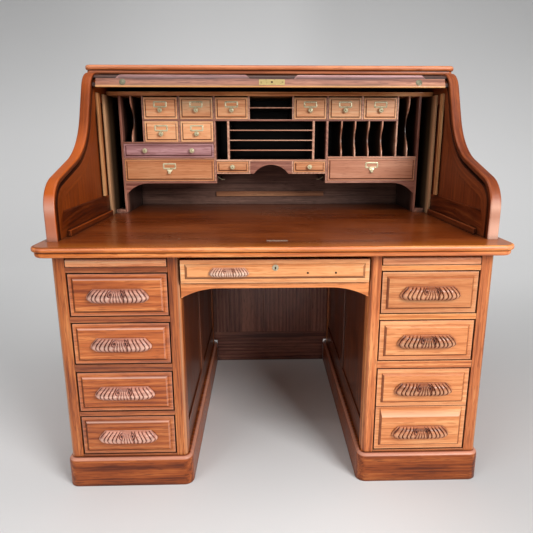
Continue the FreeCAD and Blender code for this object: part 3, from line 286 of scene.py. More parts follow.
@dataclass(frozen=True)
class WaxAndWear:
    """Shared painted light and rubbing: painted shade with some waxy build-up where surfaces close in and where marks
    fall below zero, a painted highlight with rubbing on marks above zero, and a paler painted highlight where they
    pass one.
    """

    closed_range: Pair = (0.25, 0.85)
    rubbed_share: float = 0.75
    matt_share: float = 0.3
    samples: int = 6

    def tree(self) -> bpy.types.NodeTree:
        """The group, which lays the painted highlight with rubbing, the paler painted highlight and the painted shade
        over the wood in that order.

        Returns:
            The group's tree, with the outputs Color and Matt.
        """
        graph, given, taken = open_group(
            "painted_light_and_wear",
            {"Color": "Color", "Wax": "Color", "Rubbed": "Color", "Bloom": "Color", "Relief": "Float",
             "Reach": "Float", "Amount": "Float"},
            {"Color": "Color", "Matt": "Float"},
        )
        # Painted shade: ambient occlusion darkens the wood where surfaces close in, in corners, gaps and recesses.
        near = graph.fill(graph.add("AmbientOcclusion", samples=self.samples), {"Distance": given["Reach"]})
        closed = graph.product(graph.spread(near.outputs["AO"], *self.closed_range, 1.0, 0.0), given["Amount"])
        # Marks above zero lay a painted highlight that also stands for rubbing; past one they lay a paler painted
        # highlight.
        proud = graph.maths("MAXIMUM", given["Relief"], 0.0)
        rubbed = graph.product(graph.maths("MINIMUM", proud, 1.0), self.rubbed_share)
        colour = graph.blend(rubbed, given["Color"], given["Rubbed"])
        highlight_past_one = graph.maths("MAXIMUM", graph.maths("SUBTRACT", proud, 1.0), 0.0)
        colour = graph.blend(highlight_past_one, colour, given["Bloom"])
        # Marks below zero and the occlusion lay painted shade with some waxy build-up, and make the wood more matt.
        wax = graph.maths("MAXIMUM", closed, graph.sunk(given["Relief"]))
        graph.fill(taken, {"Color": graph.blend(wax, colour, given["Wax"]),
                           "Matt": graph.product(wax, self.matt_share)})
        return graph.tree


@dataclass(frozen=True)
class Tarnish:
    """Shared brass colour: cloudy tarnished patches by place, darker where the marks are sunk, which is tarnished
    metal in hollows and painted shade in a knob's neck.
    """

    cloud_scale: Triple = (140.0, 140.0, 140.0)
    cloud_range: Pair = (0.46, 0.72)
    cloud_share: float = 0.8
    rough: Pair = (0.24, 0.6)

    def tree(self) -> bpy.types.NodeTree:
        """The group, which goes from the bright tone to the dull one by the clouds or the relief.

        Returns:
            The group's tree, with the outputs Color and Matt.
        """
        graph, given, taken = open_group(
            "tarnish_and_shade",
            {"Place": "Vector", "Bright": "Color", "Dull": "Color", "Relief": "Float"},
            {"Color": "Color", "Matt": "Float"},
        )
        cloud = graph.streaks(given["Place"], self.cloud_scale, 3.0)
        patches = graph.spread(cloud, *self.cloud_range, 0.0, self.cloud_share)
        dull = graph.maths("MAXIMUM", patches, graph.sunk(given["Relief"]))
        graph.fill(taken, {"Color": graph.blend(dull, given["Bright"], given["Dull"]),
                           "Matt": graph.spread(dull, 0.0, 1.0, *self.rough)})
        return graph.tree


@dataclass(frozen=True)
class WoodFinish:
    """A varnished or bare wood: its tones, its gloss, and how much painted shade, with some waxy build-up, darkens it
    where surfaces close in.
    """

    name: str
    dark: Colour
    base: Colour
    light: Colour
    # Colours of painted light: the shade colour for gaps, grooves and shaded sides, the highlight colour for
    # highlights along with rubbing, and a paler one for the brightest highlights.
    wax: Colour = (38, 16, 8)
    rubbed: Colour = (214, 142, 104)
    bloom: Colour = (230, 190, 174)
    rough: float = 0.4
    coat: float = 0.3
    coat_rough: float = 0.16
    gloss: float = 0.4
    rings: float = 20.0
    fibre: float = 0.3
    figure: float = 0.14
    bump: float = 0.25
    bump_deep: float = 0.0006
    # How far and how strongly the painted shade of nearby surfaces reaches.
    reach: float = 0.03
    amount: float = 0.75
    # Painted shade deep inside: the range of Object Y over which the wood turns to its shade colour, and how far.
    inner_dark: Pair | None = None
    inner_share: float = 0.93

    def material(self, shared: Groups) -> bpy.types.Material:
        """The finish as a material that reads a piece's grain, tint and relief attributes.

        Args:
            shared: The shared shader groups by name.

        Returns:
            The material.
        """
        made, graph, shader = new_material(self.name)
        grain = graph.fill(graph.add("Group", node_tree=shared["grain"]), {
            "Grain": graph.read("grain", "Vector"), "Tint": graph.read("tint", "Fac"), "Dark": tone(*self.dark),
            "Base": tone(*self.base), "Light": tone(*self.light), "Rings": self.rings, "Fibre": self.fibre,
            "Figure": self.figure})
        age = graph.fill(graph.add("Group", node_tree=shared["age"]), {
            "Color": grain.outputs["Color"], "Relief": graph.read("relief", "Fac"), "Wax": tone(*self.wax),
            "Rubbed": tone(*self.rubbed), "Bloom": tone(*self.bloom), "Reach": self.reach, "Amount": self.amount})
        colour = age.outputs["Color"]
        # Painted shade, darker the deeper a point lies.
        if self.inner_dark:
            deep = graph.spread(graph.place()["Y"], *self.inner_dark)
            colour = graph.blend(graph.product(deep, self.inner_share), colour, tone(*self.wax))
        rough = graph.maths("ADD", grain.outputs["Sheen"], age.outputs["Matt"])
        bump = graph.fill(graph.add("Bump"), {
            "Strength": self.bump, "Distance": self.bump_deep, "Height": grain.outputs["Height"]})
        graph.fill(shader, {
            "Base Color": colour, "Roughness": graph.maths("ADD", rough, self.rough),
            "Normal": bump.outputs["Normal"], "Coat Weight": self.coat, "Coat Roughness": self.coat_rough,
            "Specular IOR Level": self.gloss})
        return made


@dataclass(frozen=True)
class BrassFinish:
    """Old brass: a bright tone, a dull one, and cloudy tarnished patches between them, darker where the marks are
    sunk.
    """

    name: str
    bright: Colour
    dull: Colour
    metallic: float

    def material(self, shared: Groups) -> bpy.types.Material:
        """The finish as a material on Object coordinates.

        Args:
            shared: The shared shader groups by name.

        Returns:
            The material.
        """
        made, graph, shader = new_material(self.name)
        tarnish_and_shade = graph.fill(graph.add("Group", node_tree=shared["tarnish_and_shade"]), {
            "Place": graph.add("TexCoord").outputs["Object"], "Bright": tone(*self.bright),
            "Dull": tone(*self.dull), "Relief": graph.read("relief", "Fac")})
        graph.fill(shader, {"Base Color": tarnish_and_shade.outputs["Color"], "Roughness": tarnish_and_shade.outputs["Matt"],
                            "Metallic": self.metallic})
        return made


Finish = WoodFinish | BrassFinish

# Finishes that differ between the left and the right of the desk: besides the wood's own colour they hold painted
# light, lighter copies where more light falls and darker ones in shade

CASE_WOOD = {
    LEFT: WoodFinish("case_left_finish", (112, 48, 16), (182, 96, 42), (218, 138, 76), rubbed=(232, 166, 118)),
    RIGHT: WoodFinish("case_right_finish", (146, 70, 30), (204, 114, 60), (236, 158, 98), rubbed=(246, 190, 144)),
}
RAIL_WOOD = {
    LEFT: WoodFinish("rail_left_finish", (104, 44, 18), (160, 82, 40), (196, 116, 66), rubbed=(212, 142, 100)),
    RIGHT: WoodFinish("rail_right_finish", (188, 104, 48), (230, 146, 82), (250, 180, 112), rubbed=(254, 206, 152)),
}
ROLL_WOOD = {
    LEFT: WoodFinish("roll_left_finish", (58, 16, 1), (92, 33, 4), (122, 54, 10), wax=(24, 7, 2),
                     rubbed=(202, 96, 30), rough=0.42, coat=0.05, gloss=0.2, figure=0.1),
    RIGHT: WoodFinish("roll_right_finish", (60, 19, 4), (104, 42, 14), (134, 66, 28), wax=(22, 7, 3),
                      rubbed=(160, 82, 44), bloom=(244, 196, 172), rough=0.42, coat=0.05, gloss=0.2, figure=0.1),
}
DRAWER_WOOD = {
    LEFT: WoodFinish("drawer_left_finish", (134, 58, 18), (192, 100, 44), (222, 136, 74), rubbed=(248, 200, 178),
                     figure=0.12),
    RIGHT: WoodFinish("drawer_right_finish", (192, 108, 56), (222, 140, 84), (240, 172, 114), wax=(104, 38, 10),
                      rubbed=(254, 206, 170), figure=0.1),
}
SLIDE_WOOD = {
    LEFT: WoodFinish("slide_left_finish", (212, 116, 66), (255, 170, 114), (255, 206, 156), rubbed=(255, 220, 204)),
    RIGHT: WoodFinish("slide_right_finish", (174, 102, 64), (222, 144, 96), (242, 172, 124), rubbed=(250, 204, 172)),
}
PULL_WOOD = {
    LEFT: WoodFinish("carved_left_finish", (136, 77, 62), (196, 126, 104), (234, 172, 148), wax=(50, 22, 19),
                     rubbed=(252, 210, 188), reach=0.006),
    RIGHT: WoodFinish("carved_right_finish", (104, 47, 24), (156, 82, 48), (200, 124, 82), wax=(38, 13, 7),
                      rubbed=(246, 186, 142), reach=0.006),
}

# Case, plinths and centre drawer

TOP_WOOD = WoodFinish("desktop_finish", (92, 36, 9), (124, 54, 14), (152, 74, 24), rubbed=(190, 104, 30),
                      rough=0.32, gloss=0.3, reach=0.05, figure=0.1)
EDGE_WOOD = WoodFinish("moulded_edge_finish", (172, 82, 26), (222, 124, 54), (246, 162, 92), rubbed=(220, 158, 136),
                       coat=0.12, gloss=0.25, amount=0.35)
TOP_EDGE = WoodFinish("top_edge_finish", (142, 62, 20), (190, 98, 48), (220, 134, 82), rubbed=(232, 160, 124),
                      coat=0.12, gloss=0.25, amount=0.5)
PLINTH_WOOD = WoodFinish("plinth_finish", (92, 36, 10), (156, 74, 26), (194, 108, 52), rubbed=(236, 172, 148),
                         coat=0.15, gloss=0.3)
# A darker copy of the case wood for the walls that face the kneehole: painted shade
KNEE_WOOD = WoodFinish("knee_side_finish", (62, 24, 10), (102, 48, 22), (136, 72, 38), rubbed=(160, 94, 58))
BACK_WOOD = WoodFinish("back_panel_finish", (104, 64, 54), (158, 104, 88), (188, 132, 112), wax=(46, 25, 20),
                       rubbed=(216, 166, 148), rough=0.45)
# The apron, the centre drawer and its pull are paler than the pedestal drawers: the wood's own tone with painted
# light on the middle of the desk
APRON_WOOD = WoodFinish("apron_finish", (190, 104, 50), (236, 144, 82), (250, 172, 110), rubbed=(255, 200, 150))
CENTRE_WOOD = WoodFinish("centre_finish", (216, 132, 74), (248, 170, 108), (255, 198, 142), wax=(92, 36, 12),
                         rubbed=(255, 218, 178), figure=0.1)
PULL_CENTRE = WoodFinish("carved_centre_finish", (152, 92, 70), (212, 150, 120), (244, 192, 162), wax=(62, 28, 20),
                         rubbed=(255, 234, 212), reach=0.006)
BARE_WOOD = WoodFinish("bare_inside_finish", (150, 106, 64), (188, 146, 98), (212, 178, 132), coat=0.0, rough=0.6)
# Near-black bowls for the screw holes and the keyhole: painted shade inside the holes
HOLE_SHADE = WoodFinish("painted_hole_shade", (16, 6, 4), (20, 8, 5), (26, 11, 7), coat=0.0, rough=0.7)

# Gallery

# The gallery wood, shelves and cheeks turn near-black deep inside: painted shade in the pigeonholes.
GALLERY_WOOD = WoodFinish("gallery_finish", (112, 64, 54), (162, 104, 86), (196, 138, 116), wax=(14, 7, 4),
                          rubbed=(246, 190, 158), inner_dark=(0.166, 0.215))
SHELF_WOOD = WoodFinish("gallery_shelf_finish", (164, 104, 78), (214, 152, 122), (240, 188, 156), wax=(14, 7, 4),
                        rubbed=(252, 206, 174), inner_dark=(0.166, 0.205))
# A lighter copy of the gallery wood for the lid, which lies under the top board: painted light
LID_WOOD = WoodFinish("gallery_lid_finish", (200, 116, 60), (248, 168, 102), (255, 198, 138), wax=(52, 24, 10))
CHEEK_WOOD = WoodFinish("gallery_cheek_finish", (152, 96, 60), (206, 148, 104), (232, 180, 134), wax=(20, 11, 5),
                        rubbed=(255, 208, 158), inner_dark=(0.106, 0.165))
CLEAT_WOOD = WoodFinish("cleat_finish", (164, 104, 56), (210, 148, 94), (236, 186, 130), rough=0.5)
LEDGE_WOOD = WoodFinish("ledge_finish", (124, 78, 52), (168, 112, 78), (196, 140, 100), wax=(40, 22, 16), coat=0.1)
UNDER_WOOD = WoodFinish("gallery_back_finish", (88, 60, 50), (132, 96, 82), (166, 126, 108), wax=(44, 28, 22),
                        coat=0.1, rough=0.5, fibre=0.4, figure=0.05)
GALLERY_FRONT = WoodFinish("gallery_front_finish", (196, 118, 72), (222, 148, 100), (238, 176, 128),
                           wax=(88, 38, 16), rubbed=(252, 204, 148), fibre=0.2, figure=0.06)
# A lighter copy of the gallery front for the upper small drawers under the top board: painted light
PALE_FRONT = WoodFinish("pale_front_finish", (226, 146, 96), (253, 184, 132), (255, 208, 160),
                        wax=(92, 40, 16), rubbed=(255, 224, 170), fibre=0.2, figure=0.06)
DEEP_FRONT = WoodFinish("deep_front_finish", (170, 106, 78), (198, 132, 100), (216, 156, 124),
                        wax=(84, 36, 16), rubbed=(240, 190, 150), fibre=0.2, figure=0.06)
MAUVE_FRONT = WoodFinish("mauve_front_finish", (144, 92, 92), (188, 138, 138), (214, 170, 172),
                         wax=(84, 38, 30), rubbed=(232, 190, 182))

# Tambour and brass

TAMBOUR_WOOD = WoodFinish("tambour_finish", (104, 54, 42), (164, 102, 78), (202, 140, 110), rubbed=(250, 190, 118))
SLAT_WOOD = WoodFinish("slat_finish", (40, 20, 14), (66, 36, 27), (90, 54, 42), rubbed=(104, 62, 48), coat=0.1)
LIFT_WOOD = WoodFinish("finger_lift_finish", (124, 76, 72), (174, 122, 118), (208, 162, 160))
OLD_BRASS = BrassFinish("old_brass", (240, 230, 188), (128, 112, 70), 0.25)
DULL_BRASS = BrassFinish("dull_brass", (128, 122, 98), (72, 66, 48), 0.4)
GOLD_BRASS = BrassFinish("lock_plate_brass", (210, 186, 120), (88, 70, 36), 0.4)
STRIKE_BRASS = BrassFinish("strike_brass", (158, 128, 110), (84, 62, 50), 0.5)
ROSE_BRASS = BrassFinish("lock_rose_brass", (204, 192, 162), (92, 80, 56), 0.35)


# Surfaces


@dataclass
class Surface:
    """One closed shell: points, faces, and the grain, tint and marks that its points carry; the marks paint highlight
    and shade, along with rubbing.
    """

    points: Array
    faces: list[Array]
    grain: Array
    tint: float = 0.0
    relief: Array | None = None

    def moved(self, turn: Array, shift: Array) -> "Surface":
        """The shell turned and then shifted, its grain kept."""
        return Surface(self.points @ turn.T + shift, self.faces, self.grain, self.tint, self.relief)


def seed_of(*words: object) -> int:
    """A steady seed from names and numbers."""
    return zlib.crc32("|".join(str(word) for word in words).encode())


def tint_of(seed: int) -> float:
    """How much lighter or darker than its neighbours a board is, from -1 to 1."""
    return float(np.random.default_rng(seed).uniform(-1, 1))


def extent(points: Array) -> tuple[Array, Array]:
    """The lowest and highest corner of points."""
    return points.min(0), points.max(0)


def unit(angle: Array) -> Array:
    """Points of a circle of radius one: the cosine and the sine of each angle."""
    return np.stack([np.cos(angle), np.sin(angle)], 1)


def circle(count: int) -> Array:
    """Evenly spaced angles once round."""
    return np.linspace(0, 2 * math.pi, count, endpoint=False)


def by_ring(marks: Sequence[float], rings: Array) -> Array:
    """Marks of painted light, the same all round each ring."""
    return np.broadcast_to(np.asarray(marks, float)[:, None], rings.shape[:2]).copy()


def grain_of(points: Array, axis: Axis, seed: int) -> Array:
    """Grain coordinates: the points with the grain's direction first, moved to a place in the log of their own.

    Args:
        points: The shell's points.
        axis: The direction along which the grain runs.
        seed: Which board this is.

    Returns:
        Along, across and through the board for each point, in metres.
    """
    local = points[:, [axis, (axis + 1) % 3, (axis + 2) % 3]]
    low, high = extent(local)
    shift = np.random.default_rng(seed).uniform((-20, -0.22, 0.03), (20, 0.22, 0.25))
    return local - (low + high) / 2 + shift


def outward(shell: Surface) -> Surface:
    """The shell with its faces turned outwards, told by the sign of the volume that they enclose.

    Args:
        shell: A closed shell whose faces agree with each other.

    Returns:
        The same shell, its faces reversed where the volume came out negative.
    """
    middle = shell.points.mean(0)
    fans = [np.stack([np.full(len(face) - 2, face[0]), face[1:-1], face[2:]], axis=1) for face in shell.faces]
    corner = shell.points[np.concatenate(fans)] - middle
    volume = np.einsum("ij,ij->i", corner[:, 0], np.cross(corner[:, 1], corner[:, 2])).sum()
    if volume < 0:
        shell.faces = [face[::-1] for face in shell.faces]
    return shell


def skin(rings: Array, axis: Axis, seed: int, closed: bool = False, relief: Array | None = None) -> Surface:
    """A shell from a grid of points: each row a closed ring, each ring joined to the next.

    The first and last rings are capped, or joined to each other where the section is closed.

    Args:
        rings: Points by ring and place round it.
        axis: The grain's direction.
        seed: Which board this is.
        closed: Whether the last ring joins the first.
        relief: How much each point is lightened by a painted highlight and rubbing, or below zero darkened by painted
            shade, in the same grid.

    Returns:
        The shell, its faces outwards.
    """
    count, around = rings.shape[:2]
    points = rings.reshape(-1, 3)
    row = np.arange(count if closed else count - 1)[:, None]
    place = np.arange(around)[None, :]
    ahead, beside = (row + 1) % count, (place + 1) % around
    quads = np.stack([row * around + place, row * around + beside, ahead * around + beside,
                      ahead * around + place], axis=-1).reshape(-1, 4)
    faces = list(quads)
    if not closed:
        faces += [np.arange(around)[::-1], np.arange(around) + (count - 1) * around]
    flat = None if relief is None else relief.reshape(-1)
    return outward(Surface(points, faces, grain_of(points, axis, seed), tint_of(seed), flat))


def corner_arcs(steps: int) -> tuple[Array, Array]:
    """Unit directions round a rectangle's four corners, from the one at plus plus, counter-clockwise.

    Args:
        steps: How many steps to a quarter turn.

    Returns:
        Directions and the signs of their corner, one row to a point.
    """
    quarter = np.linspace(0, QUARTER, steps + 1)
    angle = (np.arange(4)[:, None] * QUARTER + quarter[None, :]).ravel()
    sign = np.repeat(np.array([[1, 1], [-1, 1], [-1, -1], [1, -1]], float), steps + 1, axis=0)
    return unit(angle), sign


def rectangle(half: Sequence[float], radii: Sequence[float], steps: int) -> Array:
    """A rounded rectangle about the origin: each corner's centre plus its radius along a quarter turn.

    Args:
        half: Half the width and half the height.
        radii: The four corner radii.
        steps: How many steps to a quarter turn.

    Returns:
        Points in the plane, counter-clockwise.
    """
    way, sign = corner_arcs(steps)
    radius = np.repeat(np.asarray(radii, float), steps + 1)[:, None]
    return sign * (np.asarray(half) - radius) + way * radius


def carried(section: Array, half: Sequence[float], corner: float, steps: int,
            top_extra: Array | None = None) -> Array:
    """A section carried round a rounded rectangle.

    Each section point is a distance in from the edge and a height. It gives one ring: the rectangle drawn in
    by the distance, its corner radius less the distance, at that height.

    Args:
        section: Distance in and height, one row to a ring.
        half: Half the width and half the height of the outline.
        corner: The outline's corner radius.
        steps: How many steps to a quarter turn.
        top_extra: How much further in each ring lies along the upper side.

    Returns:
        Rings of points: across, up and height.
    """
    least = min(corner, 0.0006)
    way, sign = corner_arcs(steps)
    inset, height = section[:, 0], section[:, 1]
    radius = np.maximum(corner - inset, least)[:, None, None]
    size = np.asarray(half)[None, None, :] - inset[:, None, None] - radius
    flat = sign[None] * size + way[None] * radius
    if top_extra is not None:
        flat[..., 1] -= np.where(sign[None, :, 1] > 0, top_extra[:, None], 0.0)
    return np.concatenate([flat, np.broadcast_to(height[:, None, None], flat.shape[:2] + (1,))], axis=2)


def slab_rings(rings: Array, centre: Sequence[float]) -> Array:
    """Rings of a flat-lying section: across to X, up to Y, height to Z."""
    return rings + np.array([centre[0], centre[1], 0.0])


def front_rings(rings: Array, centre: Sequence[float], face: float) -> Array:
    """Rings of an upright section: across to X, up to Z, height towards the front from a face."""
    return np.stack([rings[..., 0] + centre[0], face - rings[..., 2], rings[..., 1] + centre[1]], axis=-1)


def prism(profile: Array, low: float, high: float, axis: Axis, seed: int, marks: Array) -> Surface:
    """A profile carried straight along one direction, its ends eased by drawing the profile in.

    Args:
        profile: Points in the plane of the other two directions, in their order.
        low: Where it starts.
        high: Where it ends.
        axis: The direction, which is also the grain's.
        seed: Which board this is.
        marks: How much painted highlight and rubbing each profile point takes, or below zero how much painted shade.

    Returns:
        The shell.
    """
    ease, part, rubbed_and_lit = 0.001, 0.3, 0.6
    least, most = extent(profile)
    middle = (least + most) / 2
    share = 1 - 2 * ease / (most - least)
    stops = np.array([low, low + part * ease, low + ease, high - ease, high - part * ease, high])
    draw = np.array([1.0, part, 0.0, 0.0, part, 1.0])[:, None, None]
    flat = middle + (profile - middle)[None] * (1 - draw * (1 - share))
    parts = [flat[..., :1], flat[..., 1:]]
    parts.insert(axis, np.broadcast_to(stops[:, None, None], flat.shape[:2] + (1,)))
    # The eased ends take a painted highlight along with rubbing.
    relief = by_ring((0.0, rubbed_and_lit, 0.0, 0.0, rubbed_and_lit, 0.0), flat)
    relief = np.where(marks[None, :] < 0, marks[None, :], np.maximum(relief, marks[None, :]))
    return skin(np.concatenate(parts, axis=2), axis, seed, relief=relief)


def plank(low: Array, high: Array, radius: float, seed: int, axis: Axis | None = None) -> Surface:
    """A board with rounded edges: a rounded rectangle carried along the grain, its ends drawn in by a quarter round.

    Args:
        low: Lowest corner.
        high: Highest corner.
        radius: How far its edges are rounded.
        seed: Which board this is.
        axis: The grain's direction, else the board's longest.

    Returns:
        The shell, its edges marked for a painted highlight along with rubbing.
    """
    most_round, least_bend, rubbed_and_lit = 0.32, 0.12, 0.6
    size = high - low
    axis = Axis(int(np.argmax(size))) if axis is None else axis
    radius = min(radius, most_round * float(size.min()))
    others = [number for number in range(3) if number != axis]
    turn = np.array([0.0, math.pi / 4, QUARTER])
    inset, step = radius * (1 - np.sin(turn)), radius * (1 - np.cos(turn))
    inset = np.concatenate([inset, inset[::-1]])
    at = np.concatenate([low[axis] + step, (high[axis] - step)[::-1]])
    way, sign = corner_arcs(2)
    bend = np.maximum(radius - inset, least_bend * radius)[:, None, None]
    flat = sign[None] * (size[others] / 2 - inset[:, None, None] - bend) + way[None] * bend
    rings = np.empty(flat.shape[:2] + (3,))
    rings[..., others] = flat + (low + high)[others] / 2
    rings[..., axis] = at[:, None]
    edge = np.tile([0.0, 1.0, 0.0], 4)[None, :] + np.array([0.0, 1.0, 0.0, 0.0, 1.0, 0.0])[:, None]
    return skin(rings, axis, seed, relief=np.clip(edge, 0, 1) * rubbed_and_lit)


def turned(profile: Array, centre: Sequence[float], face: float, seed: int, marks: Sequence[float],
           around: int = 28) -> Surface:
    """A turned shape: a profile of radius over distance, spun about a line that points to the front.

    Args:
        profile: Distance out from the face and radius, one row to a ring.
        centre: The line's X and Z.
        face: The Y of the face that it stands on.
        seed: Which piece this is.
        marks: How far each ring is lightened or darkened: painted highlight and shade on wood; on brass, darker where
            tarnished and in painted shade.
        around: How many points to a ring.

    Returns:
        The shell.
    """
    angle = circle(around)
    radius, out = profile[:, 1:2], profile[:, 0:1]
    rings = np.stack([centre[0] + radius * np.cos(angle), np.broadcast_to(face - out, (len(profile), around)),
                      centre[1] + radius * np.sin(angle)], axis=-1)
    return skin(rings, Axis.Y, seed, relief=by_ring(marks, rings))


# What the CAD nodes hold


def solids(node: str) -> list[tuple[Array, Array]]:
    """The separate solids of a CAD node, read from its triangles in order.

    Corners at one place are merged. The two triangles at each edge belong together, so the list of triangles
    can be cut only where no such pair spans the cut.

    Args:
        node: The node's name.

    Returns:
        Points and triangles of each solid.
    """
    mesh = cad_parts[node].data
    mesh.calc_loop_triangles()
    places = np.empty(len(mesh.vertices) * 3)
    mesh.vertices.foreach_get("co", places)
    corners = np.empty(len(mesh.loop_triangles) * 3, np.int32)
    mesh.loop_triangles.foreach_get("vertices", corners)
    points, merged = np.unique(np.round(places.reshape(-1, 3), 6), axis=0, return_inverse=True)
    triangles = merged.reshape(-1)[corners].reshape(-1, 3)
    edges = np.sort(np.concatenate([triangles[:, [0, 1]], triangles[:, [1, 2]], triangles[:, [2, 0]]]), axis=1)
    owner = np.tile(np.arange(len(triangles)), 3)
    order = np.lexsort((owner, edges[:, 1], edges[:, 0]))
    first, second = owner[order][0::2], owner[order][1::2]
    cover = np.zeros(len(triangles) + 1, int)
    np.add.at(cover, first, 1)
    np.add.at(cover, second, -1)
    cuts = np.nonzero(np.cumsum(cover)[: len(triangles)] == 0)[0] + 1
    found = []
    for part in np.split(triangles, cuts):
        if len(part):
            used, local = np.unique(part, return_inverse=True)
            found.append((points[used], local.reshape(-1, 3)))
    return found


def is_box(points: Array) -> bool:
    """Whether points are the eight corners of an upright box."""
    low, high = extent(points)
    return len(points) == 8 and bool(np.all((np.abs(points - low) < 1e-5) | (np.abs(points - high) < 1e-5)))


def boards(node: str, radius: float, axis: Axis | None = None) -> list[Surface]:
    """A rounded board for each box among a CAD node's solids, its grain along an axis or else its longest way."""
    return [plank(*extent(points), radius, seed_of(node, number), axis)
            for number, (points, _) in enumerate(solids(node)) if is_box(points)]


def shaped(node: str, axis: Axis, only: Sequence[int] | None = None) -> list[Surface]:
    """Merged copies of a CAD node's solids that aren't boxes, or of the numbered ones.

    Args:
        node: The node's name.
        axis: The grain's direction.
        only: Which solids, else all that aren't boxes.

    Returns:
        The copies.
    """
    made = []
    for number, (points, triangles) in enumerate(solids(node)):
        if number in only if only is not None else not is_box(points):
            seed = seed_of(node, number)
            made.append(Surface(points, list(triangles), grain_of(points, axis, seed), tint_of(seed)))
    return made


# Putting pieces into the scene


@dataclass
class Bench:
    """Turns shells into dressed pieces that ride on the CAD bodies."""

    shared: Groups = field(init=False)
    made: list[str] = field(default_factory=list)

    def __post_init__(self) -> None:
        """Builds the shared shader groups once."""
        self.shared = {"grain": WoodGrain().tree(), "age": WaxAndWear().tree(), "tarnish_and_shade": Tarnish().tree()}

    def mesh(self, name: str, shells: Sequence[Surface]) -> bpy.types.Mesh:
        """One mesh of several shells with their grain, tint and relief.

        Args:
            name: The mesh's name.
            shells: What it holds.

        Returns:
            The mesh.
        """
        counts = np.array([len(shell.points) for shell in shells])
        starts = np.concatenate([[0], np.cumsum(counts)[:-1]])
        points = np.concatenate([shell.points for shell in shells])
        faces = [face + start for shell, start in zip(shells, starts) for face in shell.faces]
        lengths = np.array([len(face) for face in faces])
        begins = np.concatenate([[0], np.cumsum(lengths)[:-1]])
        made = bpy.data.meshes.new(name)
        made.vertices.add(len(points))
        made.vertices.foreach_set("co", points.astype(np.float32).ravel())
        made.loops.add(int(lengths.sum()))
        made.loops.foreach_set("vertex_index", np.concatenate(faces).astype(np.int32))
        made.polygons.add(len(faces))
        made.polygons.foreach_set("loop_start", begins.astype(np.int32))
        made.update(calc_edges=True)
        made.validate()
        relief = [np.zeros(len(shell.points)) if shell.relief is None else shell.relief for shell in shells]
        values = {"grain": ("FLOAT_VECTOR", "vector", np.concatenate([shell.grain for shell in shells])),
                  "tint": ("FLOAT", "value", np.repeat([shell.tint for shell in shells], counts)),
                  "relief": ("FLOAT", "value", np.concatenate(relief))}
        for key, (kind, part, data) in values.items():
            layer = made.attributes.new(key, kind, "POINT")
            layer.data.foreach_set(part, np.asarray(data, np.float32).ravel())
        return made

    def put(self, name: str, shells: Sequence[Surface], finish: Finish, body: str,
            nodes: Sequence[str] = (), ease: float = 0.0, sharp: float = 40.0) -> None:
        """Adds a finished piece: mesh, material, body and the CAD nodes that it stands for.

        Args:
            name: The piece's name.
            shells: Its shells.
            finish: Its material.
            body: The CAD body that it rides on.
            nodes: CAD nodes that it replaces.
            ease: Width of a bevel along its sharp edges, if it has one.
            sharp: The angle in degrees past which an edge stays sharp.
        """
        mesh = self.mesh(name, shells)
        if ease:
            work = bmesh.new()
            work.from_mesh(mesh)
            bmesh.ops.dissolve_limit(work, angle_limit=math.radians(1), verts=work.verts, edges=work.edges)
            work.to_mesh(mesh)
            work.free()
        mesh.polygons.foreach_set("use_smooth", np.ones(len(mesh.polygons), bool))
        mesh.set_sharp_from_angle(angle=math.radians(sharp))
        mesh.materials.append(bpy.data.materials.get(finish.name) or finish.material(self.shared))
        piece = bpy.data.objects.new(name, mesh)
        bpy.context.scene.collection.objects.link(piece)
        if ease:
            bevel = piece.modifiers.new("eased_edges", "BEVEL")
            bevel.width, bevel.segments, bevel.limit_method = ease, 2, "ANGLE"
            bevel.angle_limit, bevel.harden_normals = math.radians(sharp), False
        level = piece.modifiers.new("even_shading", "WEIGHTED_NORMAL")
        level.keep_sharp = not ease
        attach(piece, body)
        if nodes:
            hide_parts(*nodes)
        self.made.append(name)
        log.info("%s: %d shells, %d faces, on %s", name, len(shells), len(mesh.polygons), body)


# Sub-assemblies


# Distance in and share of the moulding's height, from the underside up
LOWER_STEP = np.array([[0.0050, 0.0], [0.0026, 0.06], [0.0011, 0.18], [0.0003, 0.38], [0.0, 0.62], [0.0004, 0.86]])
ROUND_BEAD = np.array([[0.0050, 0.03], [0.0022, 0.11], [0.0006, 0.27], [0.0, 0.50], [0.0006, 0.72], [0.0024, 0.88],
                       [0.0050, 0.97], [0.0078, 1.0]])
# Marks by ring, six of the step, two of the quirk and eight of the bead: painted highlight on the step and the bead's
# middle, painted shade in the quirk, the bead darker at its top; the flat top takes a painted highlight along its
# front strip
EDGE_LIGHT_AND_SHADE = (0.0, 0.0, 0.3, 0.3, 0.3, 0.0, -0.9, -0.9, 0.0, 0.0, 0.0, 0.4, 0.75, 0.1, -0.3, -0.4)
FACE_HIGHLIGHT = (0.7, 0.7, 0.7, 0.0)


